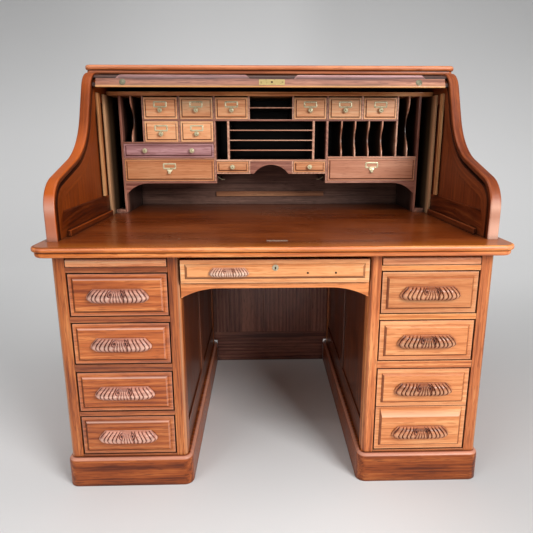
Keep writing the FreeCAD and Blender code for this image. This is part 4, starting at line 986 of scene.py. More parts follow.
@dataclass
class MouldedBoard:
    """A board whose edge is a round bead over a quirk and a rounded lower step, its marks lowered towards the left so
    that it is darker there.
    """

    name: str
    half: Pair
    middle: float
    low: float
    split: float
    high: float
    step: float
    corner: float
    finish: WoodFinish = EDGE_WOOD
    fade: float = 0.0
    fade_from: float = 0.15
    fade_over: float = 0.5

    def section(self) -> Array:
        """The edge from the underside over the step and the quirk to the top of the bead.

        Returns:
            Distance in and height, one row to a ring.
        """
        below = LOWER_STEP * np.array([1.0, self.split - self.low]) + np.array([self.step, self.low])
        above = ROUND_BEAD * np.array([1.0, self.high - self.split]) + np.array([0.0, self.split])
        back = self.step + 0.0020
        quirk = np.array([[back, self.split - 0.0012], [back, self.split + 0.0004]])
        return np.concatenate([below, quirk, above])

    def rings(self, section: Array) -> Array:
        """A section carried round the board."""
        return slab_rings(carried(section, self.half, self.corner, 8), (0.0, self.middle))

    def build(self, bench: Bench) -> None:
        """The edge as one piece and the flat top set into it as another, so that each has its own tone.

        Args:
            bench: Where pieces are made.
        """
        rings = self.rings(self.section())
        relief = by_ring(EDGE_LIGHT_AND_SHADE, rings)
        # The marks fall towards the left, darkening the edge there.
        relief -= self.fade * np.clip((self.fade_from - rings[..., 0]) / self.fade_over, 0, 1)
        edge = skin(rings, Axis.X, seed_of(self.name), relief=relief)
        bench.put(self.name, [edge], self.finish, DESK, [self.name])
        lift = np.array([0.0, self.high])
        # The flat top, with a painted highlight along its front strip.
        top = self.rings(np.array([[0.0082, -0.002], [0.0082, 0.0001], [0.0086, 0.0003], [0.0700, 0.0003]]) + lift)
        face = skin(top, Axis.X, seed_of(self.name, "face"), relief=by_ring(FACE_HIGHLIGHT, top))
        bench.put(self.name + "_face", [face], TOP_WOOD, DESK)


@dataclass
class Plinth:
    """A base frame round the foot of a pedestal, its upper edge rounded over."""

    side: int
    inner: float = 0.254
    outer: float = 0.635
    front: float = -0.437
    back: float = 0.4745
    tall: float = 0.095
    wall: float = 0.032
    corner: float = 0.028
    nose: float = 0.012
    # Painted shade at the foot and a painted highlight along the rounded top edge, one value to a ring
    wear: tuple[float, ...] = (-0.6, 0.0, 0.0, 0.0, 0.75, 0.75, 0.75, 0.0, 0.0, 0.0)

    def build(self, bench: Bench) -> None:
        """Carries the frame's section, outside, rounded top and inside, round the pedestal's foot.

        Args:
            bench: Where pieces are made.
        """
        turn = np.linspace(0, QUARTER, 6)
        nose = np.stack([self.nose * (1 - np.cos(turn)), self.tall - self.nose * (1 - np.sin(turn))], 1)
        section = np.concatenate([[[0.0015, 0.0], [0.0, 0.002]], nose, [[self.wall, self.tall], [self.wall, 0.0]]])
        half = ((self.outer - self.inner) / 2, (self.back - self.front) / 2)
        centre = (self.side * (self.outer + self.inner) / 2, (self.back + self.front) / 2)
        rings = slab_rings(carried(section, half, self.corner, 6), centre)
        name = f"plinth_{SIDE_NAMES[self.side]}"
        shell = skin(rings, Axis.X, seed_of(name), closed=True, relief=by_ring(self.wear, rings))
        bench.put(name, [shell], PLINTH_WOOD, DESK, [name])


POST_CORNERS = {(1, 1): 0, (-1, 1): 1, (-1, -1): 2, (1, -1): 3}
# Marks in the middle of each post's rounded corner: a painted highlight at the left, painted shade at the right
POST_LIGHT = {LEFT: (0.5, 0.8, 0.5), RIGHT: (-0.15, -0.25, -0.3)}


@dataclass
class Pedestal:
    """One pedestal: posts with a rounded outer edge, rails, muntins and sunk side panels."""

    side: int
    inner: float = 0.269
    outer: float = 0.625
    knee_wall: float = 0.03
    post_round: float = 0.014
    post_ease: float = 0.002
    post_steps: int = 6
    frame_ease: float = 0.0018
    panel_ease: float = 0.001
    pale_rails: float = 0.39
    rail_front: float = -0.39
    rail_long: float = 0.2

    def posts(self, node: str) -> list[Surface]:
        """The four posts, each a rectangle with one well-rounded corner, carried upright.

        Args:
            node: The CAD node whose solids give their places.

        Returns:
            The posts.
        """
        middle = self.side * (self.inner + self.outer) / 2
        made = []
        for number, (points, _) in enumerate(solids(node)):
            if is_box(points):
                continue
            low, high = extent(points)
            out = 1 if (low[0] + high[0]) / 2 > middle else -1
            back = 1 if low[1] + high[1] > 0 else -1
            corner = POST_CORNERS[(out, back)]
            radii = np.full(4, self.post_ease)
            radii[corner] = self.post_round
            profile = rectangle((high - low)[:2] / 2, radii, self.post_steps) + (low + high)[:2] / 2
            marks = np.zeros(len(profile))
            first = corner * (self.post_steps + 1) + 2
            marks[first:first + 3] = POST_LIGHT[self.side]
            made.append(prism(profile, low[2], high[2], Axis.Z, seed_of(node, "post", number), marks))
        return made

    def is_knee_side(self, shell: Surface) -> bool:
        """Whether a board belongs to the wall that faces the kneehole."""
        return float(np.abs(shell.points[:, 0]).max()) < self.inner + self.knee_wall

    def is_toned_rail(self, shell: Surface) -> bool:
        """Whether a board is a drawer rail with a tone of its own, which holds painted light as well: all at the
        left, the upper at the right.
        """
        (_, face, low), wide = shell.points.min(0), np.ptp(shell.points[:, 0])
        return bool(face < self.rail_front and wide > self.rail_long and (self.side == LEFT or low > self.pale_rails))

    def build(self, bench: Bench) -> None:
        """The frame and its panels.

        Args:
            bench: Where pieces are made.
        """
        name, finish = SIDE_NAMES[self.side], CASE_WOOD[self.side]
        frame_node, panel_node = f"pedestal_frame_{name}", f"pedestal_panels_{name}"
        parts, panels = boards(frame_node, self.frame_ease), boards(panel_node, self.panel_ease, Axis.Z)
        # The walls that face the kneehole take the darker knee finish: painted shade.
        knee = [shell for shell in parts + panels if self.is_knee_side(shell)]
        lit = [shell for shell in parts if not self.is_knee_side(shell)]
        rails = [shell for shell in lit if self.is_toned_rail(shell)]
        rest = [shell for shell in lit if not self.is_toned_rail(shell)]
        sides = [shell for shell in panels if not self.is_knee_side(shell)]
        bench.put(f"pedestal_rails_{name}", rails, RAIL_WOOD[self.side], DESK)
        bench.put(frame_node, self.posts(frame_node) + rest, finish, DESK, [frame_node])
        bench.put(panel_node, sides, finish, DESK, [panel_node])
        bench.put(f"knee_side_{name}", knee, KNEE_WOOD, DESK)


@dataclass
class RaisedFront:
    """A drawer front: an eased border, a fine quirk and a bevel up to a raised field.

    Its four side values make the bevel paler or darker at the right, the top, the left and the foot: a painted
    highlight on the sides towards the light, painted shade on the others.
    """

    face: float
    thick: float
    margin: float
    bevel: float
    rise: float
    tones: Linear
    corner: float = 0.0008

    def section(self) -> Array:
        """The front from the back of the board over its edge and border up to the field.

        Returns:
            Distance in, height and mark, one row to a ring: painted shade on the sides towards the gaps and in the
            quirk, a painted highlight on the eased edge.
        """
        ease = min(0.0018, 0.14 * self.thick)
        quirk = 0.12 * self.rise
        foot = self.margin
        return np.array([
            [0.0, -self.thick, -1.0], [0.0, -ease, -1.0], [0.3 * ease, -0.3 * ease, 0.5], [ease, 0.0, 0.15],
            [foot - 0.06 * self.bevel, 0.0, 0.0], [foot, -quirk, -0.6], [foot + 0.08 * self.bevel, 0.0, 0.0],
            [foot + 0.20 * self.bevel, 0.16 * self.rise, 0.0], [foot + 0.82 * self.bevel, 0.88 * self.rise, 0.0],
            [foot + 0.92 * self.bevel, 0.98 * self.rise, 0.0], [foot + self.bevel, self.rise, 0.0]])

    def shell(self, low: Sequence[float], high: Sequence[float], seed: int, top: Pair | None = None) -> Surface:
        """The front between two corners.

        Args:
            low: Lowest X and Z.
            high: Highest X and Z.
            seed: Which front this is.
            top: Margin and bevel of the upper side, where they differ from the rest.

        Returns:
            The shell.
        """
        section = self.section()
        half = ((high[0] - low[0]) / 2, (high[1] - low[1]) / 2)
        centre = ((high[0] + low[0]) / 2, (high[1] + low[1]) / 2)
        extra = None
        if top:
            edge = section[:, 0]
            climb = np.clip((edge - self.margin) / self.bevel, 0, 1)
            border = np.clip(edge / self.margin, 0, 1)
            extra = border * (top[0] - self.margin) + climb * (top[1] - self.bevel)
        rings = carried(section, half, self.corner, 1, extra)
        relief = by_ring(section[:, 2], rings)
        # Painted light by side: a highlight high on the bevel above zero, shade down the bevel below zero.
        right, upper, left, lower = self.tones
        tones = np.array([right, upper, upper, left, left, lower, lower, right])
        relief[8:10] += np.maximum(tones, 0.0)
        relief[5:9] += np.minimum(tones, 0.0)
        return skin(front_rings(rings, centre, self.face), Axis.X, seed, relief=relief)


@dataclass
class CarvedPull:
    """A carved leaf pull: a fan in the middle, leaves that sweep out to the ends, hollow beneath."""

    centre: Pair
    face: float
    long: float = 0.176
    tall: float = 0.039
    deep: float = 0.021
    fan: float = 0.24
    leaf: float = 0.14
    across: int = 180
    down: int = 40
    lowest: float = 68.0
    cut_deep: float = 0.24
    cut_tall: float = 0.09
    cut_dark: float = 1.7

    def outline(self, rise: Array) -> Array:
        """Half the length, as a share, at a rise of -1 to 1: drawn in above, its lower corners rounded."""
        upper = 0.22 * np.clip((rise + 0.3) / 1.3, 0, 1) ** 1.6
        return 1 - upper - 0.15 * np.clip((-0.3 - rise) / 0.7, 0, 1) ** 2

    def carving(self, along: Array, rise: Array) -> Array:
        """How deep the carving is cut, from 0 on a leaf's crest to 1 in the line between two.

        Leaves run from the upper edge outwards and down in curves, side by side, as the ends do. The fan between
        them has finer rays that spread as they fall, with a deep eye and a curl about it on either hand.

        Args:
            along: Place along the length, from -1 to 1.
            rise: Height from -1 at the lower edge to 1 at the upper.

        Returns:
            The depth.
        """
        out, climb, slender = np.abs(along), (rise + 1) / 2, self.long / self.tall
        lane = (out - self.fan) / self.leaf + 0.75 * climb ** 1.6 * (1 - out)
        leaf = 2 * np.abs(lane - np.floor(lane) - 0.5)
        ray = out * self.long / self.tall / (1.75 - 0.75 * rise) * 4.6
        fan = 2 * np.abs(ray - np.floor(ray) - 0.5)
        deep = 0.65 + 0.35 * np.sin(3.1 * np.floor(lane) + 1.3 * np.sign(along))
        leaf_cut, fan_cut = deep * np.clip((leaf - 0.5) / 0.42, 0, 1), 0.6 * np.clip((fan - 0.45) / 0.5, 0, 1)
        eye = np.hypot((out - 0.2) * slender, (rise - 0.42) * 0.8)
        curl = np.exp(-((eye - 0.36) / 0.08) ** 2) * np.clip((out - 0.17) / 0.05, 0, 1)
        cut = np.maximum(np.where(lane < 0, fan_cut, leaf_cut), 0.8 * curl)
        cut = np.maximum(cut, np.exp(-(eye / 0.17) ** 2))
        return np.clip(cut, 0, 1) * np.clip((1.0 - rise) / 0.05, 0, 1)

    def shell(self, seed: int) -> Surface:
        """The pull: a rounded front over a hollow, its ends slanting out as they fall, with the carving cut into it.

        At each place along its length the section is a bulging curve from the upper edge round to a lower lip,
        then back up inside a finger hollow. The depth falls off towards the ends as a high power.

        Args:
            seed: Which pull this is.

        Returns:
            The shell.
        """
        even = np.linspace(-1, 1, self.across)
        along = 0.998 * (0.75 * even + 0.25 * np.sin(even * QUARTER))[:, None]
        turn = np.radians(np.linspace(90, -self.lowest, self.down))
        fall = np.where(turn < 0, math.sin(math.radians(self.lowest)), 1.0)
        outer = np.stack([np.cos(turn) ** 0.7, np.sin(turn) / fall], 1)
        inner = np.array([[0.48, -0.97], [0.46, -0.5], [0.40, -0.15], [0.25, 0.0], [0.02, 0.02], [0.0, 0.4]])
        loop = np.concatenate([outer, inner])
        front = (np.arange(len(loop)) < self.down).astype(float)[None, :]
        rise = np.broadcast_to(loop[None, :, 1], (self.across, len(loop)))
        cut = self.carving(along, rise) * front
        x = along * self.outline(rise) * self.long / 2
        depth = self.deep * np.sqrt(1 - np.abs(along) ** 6) * loop[None, :, 0] * (1 - self.cut_deep * cut)
        height = self.tall / 2 * loop[None, :, 1] * (1 - self.cut_tall * cut)
        rings = np.stack([x + self.centre[0], self.face - depth, height + self.centre[1]], axis=-1)
        # A painted highlight on the crest of the front, painted shade in the carved lines.
        crest = 0.3 + 0.5 * np.clip(1 - np.abs(rise + 0.25) / 0.6, 0, 1)
        return skin(rings, Axis.X, seed, relief=crest * front - self.cut_dark * cut)


@dataclass
class PedestalDrawers:
    """The drawers of both pedestals: raised fronts, carved pulls and plain boxes."""

    face: float = -0.420
    rise: float = 0.006
    # Painted light on the bevel's sides, right, top, left and foot: highlight above zero, shade below.
    left_tones: Linear = (0.3, 0.85, -0.5, -0.6)
    right_tones: Linear = (-0.35, -0.2, -0.7, -0.7)
    deep_tones: Linear = (-0.45, 0.9, -0.7, 0.5)
    deep_top: Pair = (0.0035, 0.031)
    middle: float = 0.4455
    levels: tuple[float, ...] = (0.104, 0.249, 0.4025, 0.5505)
    tall: float = 0.1255
    seam: float = 0.249
    seam_gap: float = 0.0014
    gap: float = 0.0013

    def raised(self, margin: float, bevel: float, tones: Linear) -> RaisedFront:
        """A drawer front with its own margin, bevel and painted light on each side of the bevel."""
        return RaisedFront(self.face, FRONT_THICK, margin, bevel, self.rise, tones)

    def span(self, side: int) -> Pair:
        """The lowest and highest X of a stack of fronts."""
        near, far = sorted((side * DRAWER_BAY[0], side * DRAWER_BAY[1]))
        return near + self.gap, far - self.gap

    def pull(self, side: int, low: float) -> CarvedPull:
        """The pull in the middle of the front whose foot is at a height."""
        return CarvedPull((side * self.middle, low + self.tall / 2), self.face - self.rise)

    def drawer(self, bench: Bench, side: int, node: str, fronts: Sequence[Surface],
               pulls: Sequence[CarvedPull]) -> None:
        """One drawer's front, box and pulls, which all ride together.

        Args:
            bench: Where pieces are made.
            side: Which side of the desk.
            node: The CAD node, which is also the body.
            fronts: Its front boards.
            pulls: Its pulls.
        """
        bench.put(node + "_front", fronts, DRAWER_WOOD[side], node, [node])
        bench.put(node + "_box", boards(node, BOX_EASE), BARE_WOOD, node)
        carved = [pull.shell(seed_of(node, "pull", number)) for number, pull in enumerate(pulls)]
        bench.put(node + "_pull", carved, PULL_WOOD[side], node, sharp=CARVED_SHARP)

    def build(self, bench: Bench) -> None:
        """Four drawers on the left; two and the deep file drawer on the right.

        Args:
            bench: Where pieces are made.
        """
        fronts = {LEFT: self.raised(0.0105, 0.007, self.left_tones),
                  RIGHT: self.raised(0.0135, 0.0065, self.right_tones)}
        for side, count in ((LEFT, 4), (RIGHT, 2)):
            low_x, high_x = self.span(side)
            for number in range(1, count + 1):
                node = f"drawer_{SIDE_NAMES[side]}_{number}"
                low = self.levels[4 - number]
                shell = fronts[side].shell((low_x, low), (high_x, low + self.tall - self.gap), seed_of(node))
                self.drawer(bench, side, node, [shell], [self.pull(side, low)])
        low_x, high_x = self.span(RIGHT)
        top = self.levels[1] + self.tall - self.gap
        deep = self.raised(0.013, 0.007, self.deep_tones)
        lower = deep.shell((low_x, self.levels[0]), (high_x, self.seam), seed_of("file_low"), self.deep_top)
        upper = fronts[RIGHT].shell((low_x, self.seam + self.seam_gap), (high_x, top), seed_of("file_high"))
        pulls = [self.pull(RIGHT, low) for low in self.levels[:2]]
        self.drawer(bench, RIGHT, "file_drawer_right", [lower, upper], pulls)


@dataclass
class CentreDrawer:
    """The shallow drawer over the kneehole, with one pull, two old screw holes and a round lock."""

    face: float = -0.430
    rise: float = 0.006
    half: float = 0.2665
    low: float = 0.648
    high: float = 0.716
    margin: float = 0.013
    bevel: float = 0.008
    # Painted shade on the bevel's sides, right, top, left and foot.
    tones: Linear = (-0.6, -0.2, -0.6, -0.7)
    pull_at: float = -0.130
    holes_at: Pair = (0.091, 0.170)
    holes_down: float = 0.004
    lock_at: Pair = (0.0, 0.694)
    keyhole_at: Pair = (0.0, 0.6932)

    def hole(self, centre: Pair, seed: int, size: float = 1.0) -> Surface:
        """A small near-black bowl that stands for a hole, painted shade inside it: four rings that close in to its
        middle, wider by size.
        """
        bowl = np.array([[-0.001, 0.0031], [0.0001, 0.0031], [0.0002, 0.0024], [0.0001, 0.0010]])
        return turned(bowl * np.array([1.0, size]), centre, self.face - self.rise, seed, (-1.0,) * 4, 16)

    def rose(self) -> Surface:
        """The lock's round plate: circles drawn in to the outline of an upright keyhole.

        Returns:
            The shell.
        """
        outline = unit(circle(32))
        slot = outline * np.array([0.0023, 0.0037]) - np.array([0.0, 0.0008])
        stages = [(outline * 0.0090, 0.0), (outline * 0.0090, 0.0010), (outline * 0.0082, 0.0015),
                  (slot, 0.0015), (slot, 0.0)]
        rings = np.stack([np.concatenate([flat, np.full((32, 1), out)], 1) for flat, out in stages])
        placed = front_rings(rings, self.lock_at, self.face - self.rise)
        return skin(placed, Axis.Y, seed_of("rose"), closed=True)

    def build(self, bench: Bench) -> None:
        """The front, box, pull, screw holes and lock rose.

        Args:
            bench: Where pieces are made.
        """
        node, middle = "centre_drawer", (self.low + self.high) / 2
        front = RaisedFront(self.face, FRONT_THICK, self.margin, self.bevel, self.rise, self.tones)
        shell = front.shell((-self.half, self.low), (self.half, self.high), seed_of(node))
        bench.put(node + "_front", [shell], CENTRE_WOOD, node, [node])
        bench.put(node + "_box", boards(node, BOX_EASE), BARE_WOOD, node)
        pull = CarvedPull((self.pull_at, middle), self.face - self.rise, long=0.112, tall=0.026, deep=0.014,
                          across=140, down=30)
        carved = pull.shell(seed_of(node, "pull"))
        bench.put(node + "_pull", [carved], PULL_CENTRE, node, sharp=CARVED_SHARP)
        holes = [self.hole((x, middle - self.holes_down), seed_of("hole", x)) for x in self.holes_at]
        holes.append(self.hole(self.keyhole_at, seed_of("keyhole"), 1.5))
        bench.put("centre_drawer_hole_shade", holes, HOLE_SHADE, node)
        bench.put("centre_drawer_lock", [self.rose()], ROSE_BRASS, node, ["centre_drawer_lock"])


@dataclass
class Kneehole:
    """The panelled back between the pedestals, the arched apron and the hidden runners."""

    back_ease: float = 0.002
    apron_ease: float = 0.0016

    def build(self, bench: Bench) -> None:
        """Boards for the back and runners, and an eased copy of the arched apron.

        Args:
            bench: Where pieces are made.
        """
        back, apron, runners = "kneehole_back", "kneehole_apron", "drawer_runners"
        bench.put(back, boards(back, self.back_ease), BACK_WOOD, DESK, [back])
        bench.put(apron, shaped(apron, Axis.X), APRON_WOOD, DESK, [apron], self.apron_ease, 30.0)
        bench.put(runners, boards(runners, BOX_EASE), BARE_WOOD, DESK, [runners])


@dataclass
class WritingSlide:
    """A pull-out writing board with a rounded front lip."""

    side: int
    front: float = -0.424
    deep: float = 0.026
    low: float = 0.695
    high: float = 0.719
    rounds: Linear = (0.001, 0.008, 0.006, 0.001)

    def build(self, bench: Bench) -> None:
        """The lip, a rectangle with a rounded nose carried across, and the leaf behind it.

        Args:
            bench: Where pieces are made.
        """
        node = f"writing_slide_{SIDE_NAMES[self.side]}"
        low_x, high_x = sorted((self.side * DRAWER_BAY[0], self.side * DRAWER_BAY[1]))
        profile = rectangle((self.deep / 2, (self.high - self.low) / 2), self.rounds, 6)
        profile += np.array([self.front + self.deep / 2, (self.high + self.low) / 2])
        marks = np.zeros(len(profile))
        # A painted highlight along the top of the rounded nose
        marks[9:12] = (0.5, 0.8, 0.5)
        lip = prism(profile, low_x, high_x, Axis.X, seed_of(node), marks)
        bench.put(node + "_lip", [lip], SLIDE_WOOD[self.side], node, [node])
        bench.put(node + "_leaf", boards(node, BOX_EASE), BARE_WOOD, node)


# Distances in from the S, the top, the back and the foot, and the shoulder's radius, of each outline of a roll end
PANEL = (0.0652, 0.1032, 0.1402, 0.0782, 0.010)
PANEL_EDGE = (0.065, 0.103, 0.140, 0.078, 0.010)
FRAME_EDGE = (0.062, 0.100, 0.137, 0.075, 0.012)
TRACK_INNER = (0.0265, 0.0225, 0.0382, 0.0006, 0.0397)
TRACK_OUTER = (0.0135, 0.0095, 0.0252, 0.0004, 0.0527)
# Outlines of the rounded rim, each with its depth and how much painted highlight and rubbing it takes
RIM = (((0.0056, 0.0030, 0.0030, 0.0003, 0.0812), 0.0, 0.0), ((0.0028, 0.0016, 0.0016, 0.0002, 0.083), 0.0007, 0.8),
       ((0.0010, 0.0006, 0.0006, 0.0001, 0.0842), 0.0025, 1.0), ((0.0, 0.0, 0.0, 0.0, 0.085), 0.0056, 1.0))
# Painted highlight and rubbing of the rim at each height, palest at the foot and the swell
RIM_HEIGHTS = (0.762, 0.800, 0.830, 0.855, 0.875, 0.900, 0.930, 1.020, 1.060, 1.100, 1.180, 1.220, 1.270)
RIM_LIGHT_AND_WEAR = {LEFT: (1.35, 1.20, 1.20, 1.50, 1.20, 0.95, 0.88, 0.88, 0.60, 0.32, 0.32, 0.50, 0.55),
            RIGHT: (1.80, 1.65, 1.30, 1.60, 1.15, 0.60, 0.10, 0.10, 0.15, 0.22, 0.22, 0.40, 0.45)}


@dataclass
class RollEnd:
    """An S-shaped end of the roll case: rounded rim, tambour track and sunk fields."""

    side: int
    inner: float = 0.6115
    outer: float = 0.6435
    front: float = -0.392
    base: float = 0.762
    toe: float = 0.086
    swell: float = 0.094
    hollow: float = 0.235
    slope: float = math.radians(17.5)
    neck: float = math.radians(67.0)
    shoulder: float = 0.085
    shoulder_end: float = 0.07571
    top: float = 1.2685
    back: float = 0.468
    panel_deep: float = 0.0040
    track_deep: float = 0.011
    rear_from: float = 0.3
    rear_wear: float = 0.4
    strip_ease: float = 0.0038

    def outline(self, inset: Sequence[float]) -> Array:
        """The S drawn in from its edge: toe, swelling arc, slope, hollow arc, neck, shoulder arc, top, back, foot.

        An arc's radius shrinks by the distance where it bulges and grows by it where it is hollow. The shoulder
        arc is set where it touches both the neck's line and the top.

        Args:
            inset: Distances in from the S, the top, the back and the foot, and the shoulder's radius.

        Returns:
            Points as Y and Z, the same number for any distances.
        """
        front, top, back, bottom, shoulder = inset
        swell_at = np.array([self.front + self.swell, self.base + self.toe])
        lean = np.array([math.cos(self.neck), math.sin(self.neck)])
        fall = np.array([math.cos(self.slope), math.sin(self.slope)])
        rise_of = np.array([-math.sin(self.slope), math.cos(self.slope)])
        reach = np.array([self.shoulder_end - self.shoulder * math.sin(self.neck),
                          self.top - self.shoulder * (1 - math.cos(self.neck))]) - swell_at
        reach = reach - self.swell * rise_of - self.hollow * (rise_of - np.array([-lean[1], lean[0]]))
        run = (reach[0] * lean[1] - reach[1] * lean[0]) / math.sin(self.neck - self.slope)
        hollow_at = swell_at + rise_of * (self.swell + self.hollow) + fall * run
        swell = swell_at + (self.swell - front) * unit(np.linspace(math.pi, QUARTER + self.slope, 25))
        swing = np.linspace(self.slope - QUARTER, self.neck - QUARTER, 25)
        hollow = hollow_at + (self.hollow + front) * unit(swing)
        ceiling = self.top - top
        along = (ceiling - shoulder - hollow[-1, 1] + shoulder * lean[0]) / lean[1]
        turn_at = hollow[-1] + along * lean + shoulder * np.array([lean[1], -lean[0]])
        crown = turn_at + shoulder * unit(np.linspace(self.neck + QUARTER, QUARTER, 21))
        rear, foot = self.back - back, self.base + bottom
        toe, high_back, low_back = (np.array(place) for place in ((self.front + front, foot), (rear, ceiling),
                                                                  (rear, foot)))
        share = np.linspace(0, 1, 9)[1:-1, None]

        def between(first: Array, second: Array) -> Array:
            """Evenly spaced points between two, without them."""
            return first + (second - first) * share

        return np.concatenate([
            toe[None], between(toe, swell[0]), swell, between(swell[-1], hollow[0]), hollow,
            between(hollow[-1], crown[0]), crown, between(crown[-1], high_back), high_back[None],
            between(high_back, low_back), low_back[None], between(low_back, toe)])

    def shell(self, seed: int) -> Surface:
        """The end: outlines at growing distances in, stepped across its thickness from one sunk field to the other.

        Args:
            seed: Which end this is.

        Returns:
            The shell.
        """
        thick = self.outer - self.inner
        # Marks of each outline: painted highlight on the panel and frame edges, painted shade in the sunk track and
        # at the panel's rim.
        stages = [(PANEL, self.panel_deep, 0.3), (PANEL_EDGE, self.panel_deep, -0.1), (FRAME_EDGE, 0.0, 0.25),
                  (TRACK_INNER, 0.0, 0.35), (TRACK_INNER, self.track_deep, -0.9),
                  (TRACK_OUTER, self.track_deep, -0.9), (TRACK_OUTER, 0.0, -0.2)]
        first = len(stages)
        stages += [*RIM, *((inset, thick - deep, mark) for inset, deep, mark in RIM[::-1])]
        last = len(stages)
        stages += [(FRAME_EDGE, thick, 0.25), (PANEL_EDGE, thick - self.panel_deep, -0.35),
                   (PANEL, thick - self.panel_deep, 0.0)]
        flat = np.roll(np.stack([self.outline(inset) for inset, _, _ in stages]), 8, axis=1)
        depth = np.array([at for _, at, _ in stages])
        across = np.broadcast_to(self.side * (self.inner + depth)[:, None, None], flat.shape[:2] + (1,))
        relief = by_ring([mark for _, _, mark in stages], flat)
        relief[first:last] *= self.wear(flat[first:last])
        # Near the foot at the front the frame edge is darker instead.
        rail = (flat[2:4, :, 1] < self.base + 0.08) & (flat[2:4, :, 0] > self.front + 0.06)
        relief[2:4] = np.where(rail, -0.2, relief[2:4])
        made = skin(np.concatenate([across, flat], axis=2), Axis.Y, seed, relief=relief)
        made.grain = self.grain(flat, depth, seed)
        return made

    def wear(self, flat: Array) -> Array:
        """Painted highlight and rubbing of rim points by height: palest at the foot and the swell, deeper above, even
        at the back.
        """
        rubbed_and_lit = np.interp(flat[..., 1], RIM_HEIGHTS, RIM_LIGHT_AND_WEAR[self.side])
        return np.where(flat[..., 0] > self.rear_from, self.rear_wear, rubbed_and_lit)

    def grain(self, flat: Array, depth: Array, seed: int) -> Array:
        """Grain that follows the S in the frame and the rim, and stands upright in the two sunk panels.

        In the frame it is the length along the rim, the distance in from it and the depth. In the panels it is
        the height, the distance back and the depth.

        Args:
            flat: The outlines, as Y and Z by ring and place.
            depth: How far through the end each ring lies.
            seed: Which end this is.

        Returns:
            Along, across and through the wood for each point, in metres.
        """
        edge = flat[len(flat) // 2]
        along = np.concatenate([[0.0], np.cumsum(np.hypot(*np.diff(edge, axis=0).T))])
        inward = np.hypot(*(flat - edge[None]).transpose(2, 0, 1))
        through = np.broadcast_to(depth[:, None], inward.shape)
        made = np.stack([np.broadcast_to(along[None, :], inward.shape), inward, through], axis=-1).copy()
        for ring in (0, -1):
            made[ring] = np.stack([flat[ring, :, 1], flat[ring, :, 0], through[ring]], axis=-1) + 3.0
        shift = np.random.default_rng(seed).uniform((-20, -0.2, 0.03), (20, 0.2, 0.25))
        return made.reshape(-1, 3) + shift

    def build(self, bench: Bench) -> None:
        """The end and the rest strip along its foot, its nose rounded.

        Args:
            bench: Where pieces are made.
        """
        node, finish = f"roll_end_{SIDE_NAMES[self.side]}", ROLL_WOOD[self.side]
        bench.put(node, [self.shell(seed_of(node))], finish, DESK, [node], sharp=30.0)
        bench.put(node + "_rest_strip", boards(node, self.strip_ease), finish, DESK)


# Distance out from the face and radius of each ring of a plug, and how proud or sunk it is
PLUG = np.array([[0.0, 0.011], [0.0008, 0.011], [0.0014, 0.0100], [0.0011, 0.0080], [0.0015, 0.0060],
                 [0.0015, 0.0008]])
PLUG_WEAR = (0.0, 0.0, 0.0, -0.8, 0.0, 0.0)


